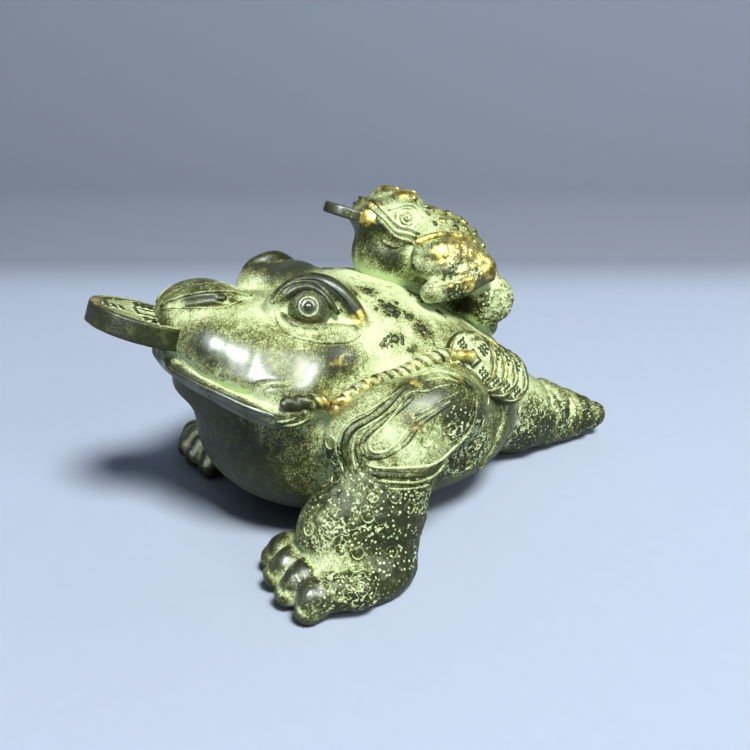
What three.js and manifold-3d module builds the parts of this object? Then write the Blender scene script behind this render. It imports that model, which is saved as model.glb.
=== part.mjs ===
// A cast bronze money toad: a three-legged toad with a coin in its mouth, a rope of coins on
// each flank and a small toad of the same kind sitting on its back. It is a single casting.
//
// Frame, in millimetres: +Z is up, the toad looks along -Y and its left side is +X. The origin
// is on the ground, under the middle of the figure's length and width.

import * as THREE from 'three';
import { mergeVertices } from 'three/addons/utils/BufferGeometryUtils.js';
import Module from 'manifold-3d';

const wasm = await Module();
wasm.setup();

// Driving sizes, in millimetres. The carved forms follow LENGTH.
const LENGTH = 150;
const MOUTH_COIN_DIAMETER = 26.8;
const MOUTH_COIN_THICKNESS = 5.2;
const SMALL_COIN_DIAMETER = 11.8;
const SMALL_COIN_THICKNESS = 2.8;
const FLANK_COIN_DIAMETER = 14;
const FLANK_COIN_THICKNESS = 2.4;
const ROPE_DIAMETER = 3.2;
const SMALL_ROPE_DIAMETER = 1.9;
const EYE_DIAMETER = 10.4;
const SMALL_EYE_DIAMETER = 3.6;
const CARVED_LINE = 0.9;

// The forms are drawn on a 150 mm figure.
const UNIT = LENGTH / 150;

// The far side of the head stands back from the near side and a little lower, as slopes.
const HEAD_TURN = 0.1;
const HEAD_TILT = 0.045;

const FLESH_CELL = 1.3 * UNIT;
const FLESH_TRIANGLES = 5000;
const FIGURE_TRIANGLES = 9700;

const rad = THREE.MathUtils.degToRad;
const vector = (p) => new THREE.Vector3(p[0], p[1], p[2]);
const scaled = (p) => vector(p).multiplyScalar(UNIT);

// The flesh is made of signed distance forms, negative inside. A form has at(x, y, z), a centre
// and the reach of its surface from that centre.
function ellipsoid(centre, radii, blend, { turn = 0, power = 2 } = {}) {
  const c = scaled(centre);
  const [a, b, h] = radii.map((r) => r * UNIT);
  const cos = Math.cos(rad(turn));
  const sin = Math.sin(rad(turn));
  return {
    blend: blend * UNIT,
    centre: c,
    reach: Math.max(a, b, h) * (power > 2 ? 1.25 : 1),
    at(x, y, z) {
      const dy = y - c.y;
      const dz = z - c.z;
      const u = Math.abs(x - c.x) / a;
      const v = Math.abs(dy * cos + dz * sin) / b;
      const w = Math.abs(dz * cos - dy * sin) / h;
      if (power === 2) {
        const k = Math.hypot(u, v, w);
        return (k * (k - 1)) / Math.max(Math.hypot(u / a, v / b, w / h), 1e-9);
      }
      const k = Math.max(u ** power + v ** power + w ** power, 1e-12) ** (1 / power);
      const e = power - 1;
      return (k - 1) / Math.max(Math.hypot((u / k) ** e / a, (v / k) ** e / b, (w / k) ** e / h), 1e-9);
    },
  };
}

// A smooth path through rows of numbers; a row is a point, with or without a radius.
function path(rows, steps = 3) {
  const out = [];
  for (let i = 0; i + 1 < rows.length; i++) {
    const p0 = rows[Math.max(i - 1, 0)];
    const p1 = rows[i];
    const p2 = rows[i + 1];
    const p3 = rows[Math.min(i + 2, rows.length - 1)];
    for (let k = 0; k < steps; k++) {
      const t = k / steps;
      out.push(p1.map((v, j) => {
        const linear = (p2[j] - p0[j]) * t;
        const square = (2 * p0[j] - 5 * v + 4 * p2[j] - p3[j]) * t * t;
        const cube = (3 * v - p0[j] - 3 * p2[j] + p3[j]) * t ** 3;
        return 0.5 * (2 * v + linear + square + cube);
      }));
    }
  }
  out.push(rows.at(-1));
  return out;
}

// A round limb through rows of [x, y, z, radius]; widen stretches it along X.
function limb(rows, blend, { widen = 1 } = {}) {
  const chain = rows.map(([x, y, z, r]) => [(x * UNIT) / widen, y * UNIT, z * UNIT, r * UNIT]);
  const box = new THREE.Box3().setFromPoints(rows.map(scaled));
  const centre = box.getCenter(new THREE.Vector3());
  const reach = Math.max(...rows.map((row) => centre.distanceTo(scaled(row)) + row[3] * widen * UNIT));
  return {
    blend: blend * UNIT,
    centre,
    reach,
    at(x, y, z) {
      const wx = x / widen;
      let best = Infinity;
      for (let i = 0; i + 1 < chain.length; i++) {
        const [ax, ay, az, ar] = chain[i];
        const [bx, by, bz, br] = chain[i + 1];
        const dx = bx - ax;
        const dy = by - ay;
        const dz = bz - az;
        const dot = (wx - ax) * dx + (y - ay) * dy + (z - az) * dz;
        const t = Math.min(Math.max(dot / (dx * dx + dy * dy + dz * dz), 0), 1);
        const d = Math.hypot(wx - ax - t * dx, y - ay - t * dy, z - az - t * dz);
        best = Math.min(best, d - ar - t * (br - ar));
      }
      return best;
    },
  };
}

const carve = (form) => ({ ...form, cut: true });
const onSide = (form, side) => ({ ...form, side });

const largeToad = [
  ellipsoid([0, -7.5, 24.3], [38.5, 41.9, 23.1], 6, { power: 2.4 }),
  ellipsoid([0, -24.4, 35.6], [25, 30.2, 10.4], 6),
  ellipsoid([0, -1.4, 36.6], [34, 26, 17.2], 8, { turn: -16 }),
  ellipsoid([0, -12, 45], [26, 20, 12.8], 8),
  // tail leg
  limb([
    [0, 24, 22, 17.2], [0, 42, 12.4, 12.6], [0, 52, 9.5, 9.8],
    [0, 60, 7.6, 7.9], [0, 67, 6.1, 6.3], [0, 71.6, 5.6, 4.9],
  ], 6, { widen: 1.15 }),
  // bumps and toes of the tail foot
  ellipsoid([0, 59.8, 14.1], [4.6, 3.8, 2.4], 1),
  ellipsoid([0, 65.6, 11.6], [4.4, 3.2, 2.4], 1),
  ellipsoid([6, 66.5, 7.4], [3, 3.8, 3], 1),
  ellipsoid([2.6, 73, 6.2], [3.2, 3.5, 2.9], 1),
  // lower jaw and lip
  ellipsoid([0, -30.5, 39.5], [34, 26.5, 8], 5, { turn: -12 }),
  limb(path([
    [0, -56.6, 43.6, 2.2], [7, -55.3, 42.2, 2.2], [14, -52.6, 40.6, 2.2], [20.3, -49.6, 39.4, 2.2],
    [26.3, -46.2, 37.8, 2.2], [31.2, -42.4, 36.4, 2.2], [34.3, -38.2, 35.6, 2.2], [35.5, -34, 36.5, 2],
  ]), 2),
  ellipsoid([30, -35, 40], [5.5, 8, 5], 3),
  // upper jaw and cheek
  ellipsoid([0, -32, 47], [26, 25, 8], 4, { turn: -12 }),
  limb(path([
    [0, -54.5, 48, 4], [10, -50.5, 47.5, 5], [17, -45.5, 46, 6],
    [22.5, -38, 44, 7.5], [24, -28, 43, 8], [23, -18, 43, 7.5],
  ], 4), 3),
  ellipsoid([4, -47, 52.6], [7.5, 10, 7], 2.5),
  // brow, lids
  ellipsoid([13, -21, 51.8], [9.5, 11, 8.8], 2),
  ellipsoid([14.8, -28.4, 54.6], [5.4, 7, 5.6], 2),
  limb(path([
    [16.5, -34, 55.8, 1.6], [18, -31.5, 58.8, 1.9], [18.5, -28, 60.6, 2.1], [19.5, -24, 60.6, 2.3],
    [20.5, -20, 58.5, 2.3], [22, -16.8, 54.6, 2.2], [23.5, -14.6, 50.8, 1.5],
  ]), 1.5),
  limb(path([
    [18, -34.5, 53, 1.2], [21.5, -33, 50.8, 1.8], [24.5, -29, 49.4, 2],
    [26, -24, 49.2, 2], [25.5, -18.5, 50, 1.6],
  ]), 1.5),
  // shoulder
  ellipsoid([42, -13, 33], [8.5, 19.5, 10.5], 3, { turn: 6 }),
  ellipsoid([33, -2, 33], [10, 14, 10], 4),
];

// A foreleg; inward moves its foot toward the middle.
function foreleg(side, inward) {
  const toes = [
    [37, -39, 5.8, 35.2, -42.6, 3.6], [43.2, -40.3, 6.4, 42.6, -44.6, 4.2],
    [50, -40.3, 6.6, 50, -44.7, 4], [56, -38.5, 5.6, 56.5, -42.9, 3.2],
  ];
  return [
    ellipsoid([43.5 - 0.4 * inward, -17.5, 27], [9, 12, 11], 3),
    ellipsoid([46 - 0.8 * inward, -24.4, 15], [9.2, 13.3, 12.3], 4),
    ellipsoid([45 - 0.9 * inward, -31.5, 12.5], [8, 9, 8], 4),
    ellipsoid([48 - inward, -28.8, 4.5], [11.6, 14, 7.2], 4),
    ...toes.map(([x, y, z, tipX, tipY, tipZ]) => limb([
      [x + 1.5 - inward, y + 6, z - 0.2, 4.2], [x - inward, y, z, 4], [tipX - inward, tipY, tipZ, 3.1],
    ], 1.2)),
  ].map((form) => onSide(form, side));
}

// Carved lines, drawn on the near side: each is a path and a radius.
const grooves = [
  // between the upper and the lower jaw
  [[
    [0, -56.5, 48.5], [6, -54.8, 47.2], [10, -53, 46], [16, -50.6, 44],
    [22, -47, 42], [26, -43.8, 41.2], [30, -40.5, 41.4], [32.5, -36.5, 42],
  ], 0.9],
  // nostril
  [[[8, -54, 56.6], [9.3, -50, 57.2], [9.9, -46, 57], [8.4, -41.5, 56.6]], 1.1],
  // between the flank and the tail leg
  [[[27, 24, 33], [30, 20.4, 27.9], [32, 17, 22.3], [31.5, 13, 16]], 0.9],
];

// Raised lines of the shoulder: a scroll down to the front of the leg, a loop inside it and two
// lines under the loop.
const ridges = [
  [
    [43.8, -11.6, 43.4], [44.5, -16.2, 42.7], [46.5, -19.1, 41], [47, -22.6, 39.3], [46.6, -26, 37.8],
    [46.1, -28.7, 36.1], [46.3, -29.7, 34], [46.8, -29.8, 30.2], [48.9, -28.7, 26.6],
  ],
  [
    [47.5, -8.8, 41], [48.4, -13.6, 39.9], [49.1, -18.1, 38.2], [49.3, -21.9, 36.3], [49.1, -25.2, 34.2],
    [49.3, -25.9, 32.6], [50.4, -24.5, 31.2], [51.3, -21.5, 31.9], [51.3, -17.8, 33.7], [50.2, -15.5, 36.4],
    [49.3, -11.7, 38.5], [47.8, -6, 40.2],
  ],
  [
    [49.2, -27.5, 27.6], [51, -24.1, 28.8], [52.2, -20.5, 28.1], [52.4, -16, 27.3], [50.8, -10.3, 27],
    [49.5, -4.5, 28.4], [48.6, -1.6, 31.3], [48.2, 0.1, 35.2], [46.7, 1.2, 38.3],
  ],
  [[50.8, -26.2, 26], [52.4, -22, 25.2], [52.3, -15.9, 24], [50, -9, 23.4]],
];

// Warts of the back: a point and a radius.
const warts = [
  [16.5, -10.5, 57.6, 1.7], [18, -14.6, 57.6, 1.5], [21.9, -8.8, 53.6, 2.1], [22, -3.6, 52.9, 1.6],
  [15.5, 4.6, 53.1, 1.7], [26.4, -2.4, 50, 1.7], [28.8, -10, 48.6, 1.7], [30.6, -5.9, 46.5, 1.5],
  [14.6, 10.2, 50.3, 1.5],
];

const smallToad = [
  ellipsoid([0, 13.4, 61], [13, 17.6, 12.2], 3, { turn: -12 }),
  ellipsoid([0, 3.4, 62], [11, 9.7, 10], 1.5),
  ellipsoid([0, 4, 69.9], [11, 10.5, 6.3], 2.5, { turn: -12 }),
  ellipsoid([0, 25.6, 51], [11, 10, 12], 3),
  ellipsoid([3, -2.3, 71.8], [3, 4, 3], 1.5),
  ellipsoid([4.5, 5, 74.5], [4, 5.2, 3.8], 1.5),
  ellipsoid([13.5, 13, 62], [4.5, 10.5, 5.5], 1, { turn: -10 }),
  limb([[14.5, 22, 59, 4], [16.5, 15, 57, 4], [18, 9, 56, 3.2], [19, 5, 55.5, 2.6]], 1),
  ellipsoid([10, 27, 49.5], [6, 7.5, 7], 1.5),
  limb([[0, 31, 45, 6], [0, 33, 39.5, 4]], 2),
];

const forms = [...largeToad, ...foreleg(1, 0), ...foreleg(-1, 17), ...smallToad];

function smooth(a, b, k) {
  const h = Math.max(k - Math.abs(a - b), 0) / k;
  return Math.min(a, b) - (h * h * k) / 4;
}

// How far a point of the head lies on the far side; it fades out behind the eyes.
function farness(x, y) {
  const t = THREE.MathUtils.clamp(-y / (25 * UNIT), 0, 1);
  const bend = 6 * UNIT;
  return (x - Math.hypot(x, bend) + bend) * t * t * (3 - 2 * t);
}

// The share of the head's tilt at a height: none in the legs and belly.
const tiltShare = (z) => HEAD_TILT * THREE.MathUtils.clamp((z / UNIT - 36) / 16, 0, 1);

function flesh(x, y, z) {
  const ax = Math.abs(x);
  const far = farness(x, y);
  const turned = y + HEAD_TURN * far;
  const tilted = z - tiltShare(z) * far;
  let d = 1e3;
  for (const form of forms) {
    if (form.side && form.side * x < 0) continue;
    const fy = form.side ? y : turned;
    const fz = form.side ? z : tilted;
    const c = form.centre;
    const near = Math.hypot(ax - c.x, fy - c.y, fz - c.z) - form.reach;
    if (near > (form.cut ? 4 * UNIT : d + form.blend)) continue;
    const f = form.at(ax, fy, fz);
    d = form.cut ? -smooth(-d, f, form.blend) : smooth(d, f, form.blend);
  }
  return d;
}

// A closed mesh of the zero surface. Each grid cell is split into six tetrahedra, so no case is
// ambiguous and the surface has no gap.
function surfaceOf(field, low, high, cell) {
  const n = low.map((v, i) => Math.ceil((high[i] - v) / cell) + 1);
  const values = new Float64Array(n[0] * n[1] * n[2]).fill(NaN);
  const at = (id) => {
    const i = id % n[0];
    const j = Math.floor(id / n[0]) % n[1];
    const k = Math.floor(id / (n[0] * n[1]));
    return [low[0] + i * cell, low[1] + j * cell, low[2] + k * cell];
  };
  const valueAt = (id) => {
    if (Number.isNaN(values[id])) {
      const v = field(...at(id));
      values[id] = Math.abs(v) < cell * 0.02 ? cell * 0.02 : v;
    }
    return values[id];
  };
  const positions = [];
  const triangles = [];
  const onEdge = new Map();
  const crossing = (p, q) => {
    const [a, b] = p < q ? [p, q] : [q, p];
    const key = a * values.length + b;
    if (!onEdge.has(key)) {
      const t = values[a] / (values[a] - values[b]);
      const pa = at(a);
      const pb = at(b);
      onEdge.set(key, positions.length);
      positions.push(pa.map((v, i) => v + t * (pb[i] - v)));
    }
    return onEdge.get(key);
  };
  const corners = [0, 1, 2, 3, 4, 5, 6, 7].map((c) => (c & 1) + n[0] * (((c >> 1) & 1) + n[1] * (c >> 2)));
  const tetrahedra = [[1, 3], [3, 2], [2, 6], [6, 4], [4, 5], [5, 1]].map(([a, b]) => [0, a, b, 7]);
  const visit = (i, j, k) => {
    const base = (k * n[1] + j) * n[0] + i;
    const inside = corners.filter((c) => valueAt(base + c) < 0).length;
    if (inside === 0 || inside === 8) return;
    for (const tetrahedron of tetrahedra) {
      const ids = tetrahedron.map((c) => base + corners[c]);
      const ins = ids.filter((id) => values[id] < 0);
      const outs = ids.filter((id) => values[id] >= 0);
      if (!ins.length || !outs.length) continue;
      const order = [...ins, ...outs].map((id) => ids.indexOf(id));
      let swaps = 0;
      for (let a = 0; a < 4; a++) for (let b = a + 1; b < 4; b++) if (order[a] > order[b]) swaps++;
      let loop;
      if (ins.length === 1) loop = outs.map((o) => crossing(ins[0], o));
      else if (outs.length === 1) loop = ins.map((o) => crossing(o, outs[0]));
      else loop = [[0, 0], [0, 1], [1, 1], [1, 0]].map(([a, b]) => crossing(ins[a], outs[b]));
      if (swaps % 2) loop.reverse();
      triangles.push([loop[0], loop[1], loop[2]]);
      if (loop.length === 4) triangles.push([loop[0], loop[2], loop[3]]);
    }
  };
  const block = 6;
  const blockReach = block * cell * 1.5;
  for (let k = 0; k < n[2] - 1; k += block) {
    for (let j = 0; j < n[1] - 1; j += block) {
      for (let i = 0; i < n[0] - 1; i += block) {
        const middle = [i, j, k].map((v, axis) => low[axis] + (v + block / 2) * cell);
        if (Math.abs(field(...middle)) > blockReach) continue;
        for (let c = k; c < Math.min(k + block, n[2] - 1); c++) {
          for (let b = j; b < Math.min(j + block, n[1] - 1); b++) {
            for (let a = i; a < Math.min(i + block, n[0] - 1); a++) visit(a, b, c);
          }
        }
      }
    }
  }
  return { positions, triangles };
}

// Fewer triangles for the same surface: the edge whose removal moves the surface least goes
// first, and no removal may flip a face or pinch the mesh.
function simplify({ positions, triangles }, target) {
  const points = positions.map((p) => p.slice());
  const faces = triangles.map((t) => t.slice());
  const around = points.map(() => new Set());
  const quadric = points.map(() => new Float64Array(10));
  const stamp = new Uint32Array(points.length);
  const normalOf = (a, b, c) => {
    const u = [b[0] - a[0], b[1] - a[1], b[2] - a[2]];
    const v = [c[0] - a[0], c[1] - a[1], c[2] - a[2]];
    return [u[1] * v[2] - u[2] * v[1], u[2] * v[0] - u[0] * v[2], u[0] * v[1] - u[1] * v[0]];
  };
  faces.forEach((face, f) => {
    const [a, b, c] = face.map((v) => points[v]);
    const n = normalOf(a, b, c);
    const size = Math.hypot(...n);
    for (const v of face) around[v].add(f);
    if (size < 1e-12) return;
    const [x, y, z] = n.map((v) => v / size);
    const w = -(x * a[0] + y * a[1] + z * a[2]);
    const terms = [x * x, x * y, x * z, x * w, y * y, y * z, y * w, z * z, z * w, w * w];
    for (const v of face) terms.forEach((term, i) => { quadric[v][i] += term * size; });
  });
  const errorAt = (q, [x, y, z]) => {
    const squares = q[0] * x * x + q[4] * y * y + q[7] * z * z + q[9];
    const products = q[1] * x * y + q[2] * x * z + q[3] * x + q[5] * y * z + q[6] * y + q[8] * z;
    return squares + 2 * products;
  };
  const bestPoint = (a, b) => {
    const q = quadric[a].map((v, i) => v + quadric[b][i]);
    const pa = points[a];
    const pb = points[b];
    const middle = pa.map((v, i) => (v + pb[i]) / 2);
    const m = new THREE.Matrix3(q[0], q[1], q[2], q[1], q[4], q[5], q[2], q[5], q[7]);
    const options = [pa, pb, middle];
    const scale = Math.cbrt(Math.abs(m.determinant()));
    if (scale > 1e-3 * (q[0] + q[4] + q[7])) {
      const solved = new THREE.Vector3(-q[3], -q[6], -q[8]).applyMatrix3(m.invert()).toArray();
      const off = Math.hypot(...solved.map((v, i) => v - middle[i]));
      if (off < 2 * Math.hypot(...pa.map((v, i) => v - pb[i]))) options.push(solved);
    }
    let best = options[0];
    for (const option of options) if (errorAt(q, option) < errorAt(q, best)) best = option;
    const length = pa.reduce((sum, v, i) => sum + (v - pb[i]) ** 2, 0);
    return { point: best, cost: Math.max(errorAt(q, best), 0) + 1e-5 * length };
  };
  // a binary heap of edges, cheapest first
  const heap = [];
  const push = (entry) => {
    let i = heap.push(entry) - 1;
    while (i > 0) {
      const parent = (i - 1) >> 1;
      if (heap[parent].cost <= heap[i].cost) break;
      [heap[parent], heap[i]] = [heap[i], heap[parent]];
      i = parent;
    }
  };
  const pop = () => {
    const top = heap[0];
    const last = heap.pop();
    if (heap.length) {
      heap[0] = last;
      let i = 0;
      for (;;) {
        const left = 2 * i + 1;
        let least = i;
        if (left < heap.length && heap[left].cost < heap[least].cost) least = left;
        if (left + 1 < heap.length && heap[left + 1].cost < heap[least].cost) least = left + 1;
        if (least === i) break;
        [heap[least], heap[i]] = [heap[i], heap[least]];
        i = least;
      }
    }
    return top;
  };
  const queueEdge = (a, b) => push({ a, b, ...bestPoint(a, b), sa: stamp[a], sb: stamp[b] });
  const neighbours = (v) => {
    const out = new Set();
    for (const f of around[v]) for (const u of faces[f]) if (u !== v) out.add(u);
    return out;
  };
  points.forEach((_, v) => { for (const u of neighbours(v)) if (u > v) queueEdge(v, u); });
  let count = faces.length;
  while (count > target && heap.length) {
    const { a, b, point, sa, sb } = pop();
    if (stamp[a] !== sa || stamp[b] !== sb || !faces.length) continue;
    const na = neighbours(a);
    const nb = neighbours(b);
    if (!na.has(b)) continue;
    let shared = 0;
    for (const v of na) if (nb.has(v)) shared++;
    if (shared !== 2) continue;
    let flips = false;
    const closeBy = Math.hypot(...points[a].map((v, i) => v - points[b][i])) < 2e-3;
    for (const v of closeBy ? [] : [a, b]) {
      for (const f of around[v]) {
        const face = faces[f];
        if (face.includes(a) && face.includes(b)) continue;
        const before = normalOf(...face.map((u) => points[u]));
        const after = normalOf(...face.map((u) => (u === v ? point : points[u])));
        const dot = before[0] * after[0] + before[1] * after[1] + before[2] * after[2];
        const sizes = Math.hypot(...before) * Math.hypot(...after);
        if (dot < 0.35 * sizes || Math.hypot(...after) < 1e-7) flips = true;
      }
    }
    if (flips) continue;
    points[a] = point;
    for (let i = 0; i < 10; i++) quadric[a][i] += quadric[b][i];
    for (const f of [...around[b]]) {
      const face = faces[f];
      if (face.includes(a)) {
        for (const v of face) around[v].delete(f);
        faces[f] = null;
        count--;
      } else {
        face[face.indexOf(b)] = a;
        around[a].add(f);
      }
    }
    around[b].clear();
    stamp[a]++;
    stamp[b]++;
    for (const u of neighbours(a)) {
      for (const f of around[u]) if (faces[f] === null) around[u].delete(f);
      queueEdge(a, u);
    }
  }
  const kept = faces.filter((face) => face !== null);
  const renumber = new Map();
  for (const v of kept.flat()) if (!renumber.has(v)) renumber.set(v, renumber.size);
  return {
    positions: [...renumber.keys()].map((v) => points[v]),
    triangles: kept.map((face) => face.map((v) => renumber.get(v))),
  };
}

function meshOf(points, triangles) {
  const geometry = new THREE.BufferGeometry();
  geometry.setAttribute('position', new THREE.Float32BufferAttribute(points.flat(), 3));
  geometry.setIndex(triangles.flat());
  return geometry;
}

function solid(geometry) {
  const bare = geometry.clone();
  bare.deleteAttribute('normal');
  bare.deleteAttribute('uv');
  const joined = mergeVertices(bare, 1e-4);
  return new wasm.Manifold(new wasm.Mesh({
    numProp: 3,
    vertProperties: joined.attributes.position.array,
    triVerts: new Uint32Array(joined.index.array),
  }));
}

function slope(p) {
  const h = 0.4 * UNIT;
  return new THREE.Vector3(
    flesh(p.x + h, p.y, p.z) - flesh(p.x - h, p.y, p.z),
    flesh(p.x, p.y + h, p.z) - flesh(p.x, p.y - h, p.z),
    flesh(p.x, p.y, p.z + h) - flesh(p.x, p.y, p.z - h),
  ).normalize();
}

// The nearest point of the flesh to p, raised by lift along the surface normal.
function settle(from, lift = 0) {
  const p = from.clone();
  for (let i = 0; i < 6; i++) p.addScaledVector(slope(p), -flesh(p.x, p.y, p.z) * 0.8);
  const normal = slope(p);
  return { point: p.addScaledVector(normal, lift), normal };
}

// A point drawn on the near side, mirrored to a side and moved with the turned head.
function drawnAt([x, y, z], side) {
  const p = scaled([side * x, y, z]);
  const far = farness(p.x, p.y);
  p.y -= HEAD_TURN * far;
  p.z += tiltShare(p.z) * far;
  return p;
}

// A groove along drawn points, seated so that half its width is sunk in the flesh.
function groove(drawn, radius, blend) {
  const rows = path(drawn).map((p) => {
    const { point } = settle(drawnAt(p, 1), 0.25 * radius * UNIT);
    const far = farness(point.x, point.y);
    point.y += HEAD_TURN * far;
    point.z -= tiltShare(point.z) * far;
    return [...point.divideScalar(UNIT).toArray(), radius];
  });
  return carve(limb(rows, blend));
}

// A closed bar along points; section(i) gives the radius there and lean tilts its rings.
function bar(points, section, { sides = 6, lean = 0, up = null } = {}) {
  const rows = [];
  const last = points.length - 1;
  points.forEach((p, i) => {
    const along = points[Math.min(i + 1, last)].clone().sub(points[Math.max(i - 1, 0)]).normalize();
    const out = (up ? up[i] : new THREE.Vector3(0, 0, 1)).clone();
    out.addScaledVector(along, -out.dot(along)).normalize();
    const across = along.clone().cross(out);
    const r = section(i);
    const tilt = i === 0 || i === last ? 0 : lean;
    rows.push(Array.from({ length: sides }, (_, k) => {
      const angle = (2 * Math.PI * k) / sides;
      return p.clone()
        .addScaledVector(across, r * Math.cos(angle))
        .addScaledVector(out, r * Math.sin(angle))
        .addScaledVector(along, tilt * r * Math.cos(angle))
        .toArray();
    }));
  });
  const vertices = [...rows.flat(), points[0].toArray(), points[last].toArray()];
  const triangles = [];
  const first = vertices.length - 2;
  for (let k = 0; k < sides; k++) {
    const next = (k + 1) % sides;
    triangles.push([first, next, k], [first + 1, last * sides + k, last * sides + next]);
    for (let i = 0; i < last; i++) {
      const a = i * sides + k;
      const b = i * sides + next;
      triangles.push([a, b, b + sides], [a, b + sides, a + sides]);
    }
  }
  return solid(meshOf(vertices, triangles));
}

function evenly(points, spacing) {
  const curve = new THREE.CatmullRomCurve3(points, false, 'centripetal');
  return curve.getSpacedPoints(Math.max(2, Math.round(curve.getLength() / spacing)));
}

// A line raised on the flesh through drawn points.
function ridge(drawn, side, width) {
  const seats = drawn.map((p) => settle(drawnAt(p, side)).point);
  const line = evenly(seats, 2.4 * UNIT).map((p) => settle(p, width * 0.05));
  const last = line.length - 1;
  const thickness = (i) => width * (i === 0 || i === last ? 0.35 : 0.65);
  return bar(line.map((p) => p.point), thickness, { sides: 5, up: line.map((p) => p.normal) });
}

// A coin with a rim, about its own middle, its faces along Z. A coin with one cut face has a plain
// back, for the flesh to cover.
function coinSolid(diameter, thickness, segments, bothFaces) {
  const r = diameter / 2;
  const h = thickness / 2;
  const rim = diameter * 0.085;
  const sunk = Math.min(0.45, thickness * 0.17);
  const chamfer = Math.min(0.5, thickness * 0.14);
  const face = [[r, h - chamfer], [r - chamfer, h], [r - rim, h], [r - rim - sunk, h - sunk], [0, h - sunk]];
  const back = face.map(([x, y]) => [x, -y]).reverse();
  const profile = bothFaces ? [...back, ...face] : [[0, -h], [r, -h], [r, h], ...face.slice(2)];
  const coin = new THREE.LatheGeometry(profile.map(([x, y]) => new THREE.Vector2(x, y)), segments);
  return coin.rotateX(Math.PI / 2);
}

function placed(geometry, origin, facing, upward) {
  const z = facing.clone().normalize();
  const x = upward.clone().cross(z).normalize();
  const y = z.clone().cross(x);
  const matrix = new THREE.Matrix4().makeBasis(x, y, z).setPosition(origin);
  return geometry.clone().applyMatrix4(matrix);
}

const box = (x, y, z, sx, sy, sz) => new THREE.BoxGeometry(sx, sy, sz).translate(x, y, z);

// The square hole's raised frame and four short raised strokes, on the face at height h.
function coinMarks(diameter, h) {
  const s = diameter * 0.075;
  const d = diameter * 0.27;
  const w = diameter * 0.045;
  const frame = [
    [0, s + w, 2 * s + 3 * w, w], [0, -s - w, 2 * s + 3 * w, w],
    [s + w, 0, w, 2 * s + 2 * w], [-s - w, 0, w, 2 * s + 2 * w],
  ];
  const strokes = [
    [-w, d, 3 * w, w], [0.8 * w, d - 1.6 * w, w, 3 * w], [0, -d, w, 3.4 * w],
    [-d, 0, w, 3 * w], [d, w, 3 * w, w], [d, -w, 2.2 * w, w],
  ];
  return [...frame, ...strokes].map(([x, y, sx, sy]) => box(x, y, h, sx, sy, 0.9));
}

const pieces = [];

forms.push(...grooves.map(([line, radius]) => groove(line, radius, 0.8)));
const low = [-66, -64, -6].map((v) => v * UNIT);
const high = [66, 84, 84].map((v) => v * UNIT);
const raw = surfaceOf(flesh, low, high, FLESH_CELL);
const body = simplify(raw, FLESH_TRIANGLES);
pieces.push(solid(meshOf(body.positions, body.triangles)));

// The coin in the large toad's mouth, tipped up at the front.
const tip = rad(20);
const mouthFacing = new THREE.Vector3(0, Math.sin(tip), Math.cos(tip));
const forward = new THREE.Vector3(0, -Math.cos(tip), Math.sin(tip));
const mouthRim = scaled([0, -72.4, 55.4]);
const mouthCentre = mouthRim.clone().addScaledVector(forward, -MOUTH_COIN_DIAMETER / 2);
const mouthCoin = coinSolid(MOUTH_COIN_DIAMETER, MOUTH_COIN_THICKNESS, 26, true);
const mouthMarks = coinMarks(MOUTH_COIN_DIAMETER, MOUTH_COIN_THICKNESS / 2 - 0.5);
pieces.push(...[mouthCoin, ...mouthMarks].map((g) => solid(placed(g, mouthCentre, mouthFacing, forward))));

const smallRim = scaled([0, -14.1, 75.1]);
const smallCentre = smallRim.clone().addScaledVector(forward, -SMALL_COIN_DIAMETER / 2);
const smallCoin = coinSolid(SMALL_COIN_DIAMETER, SMALL_COIN_THICKNESS, 18, false);
pieces.push(solid(placed(smallCoin, smallCentre, mouthFacing, forward)));

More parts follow.
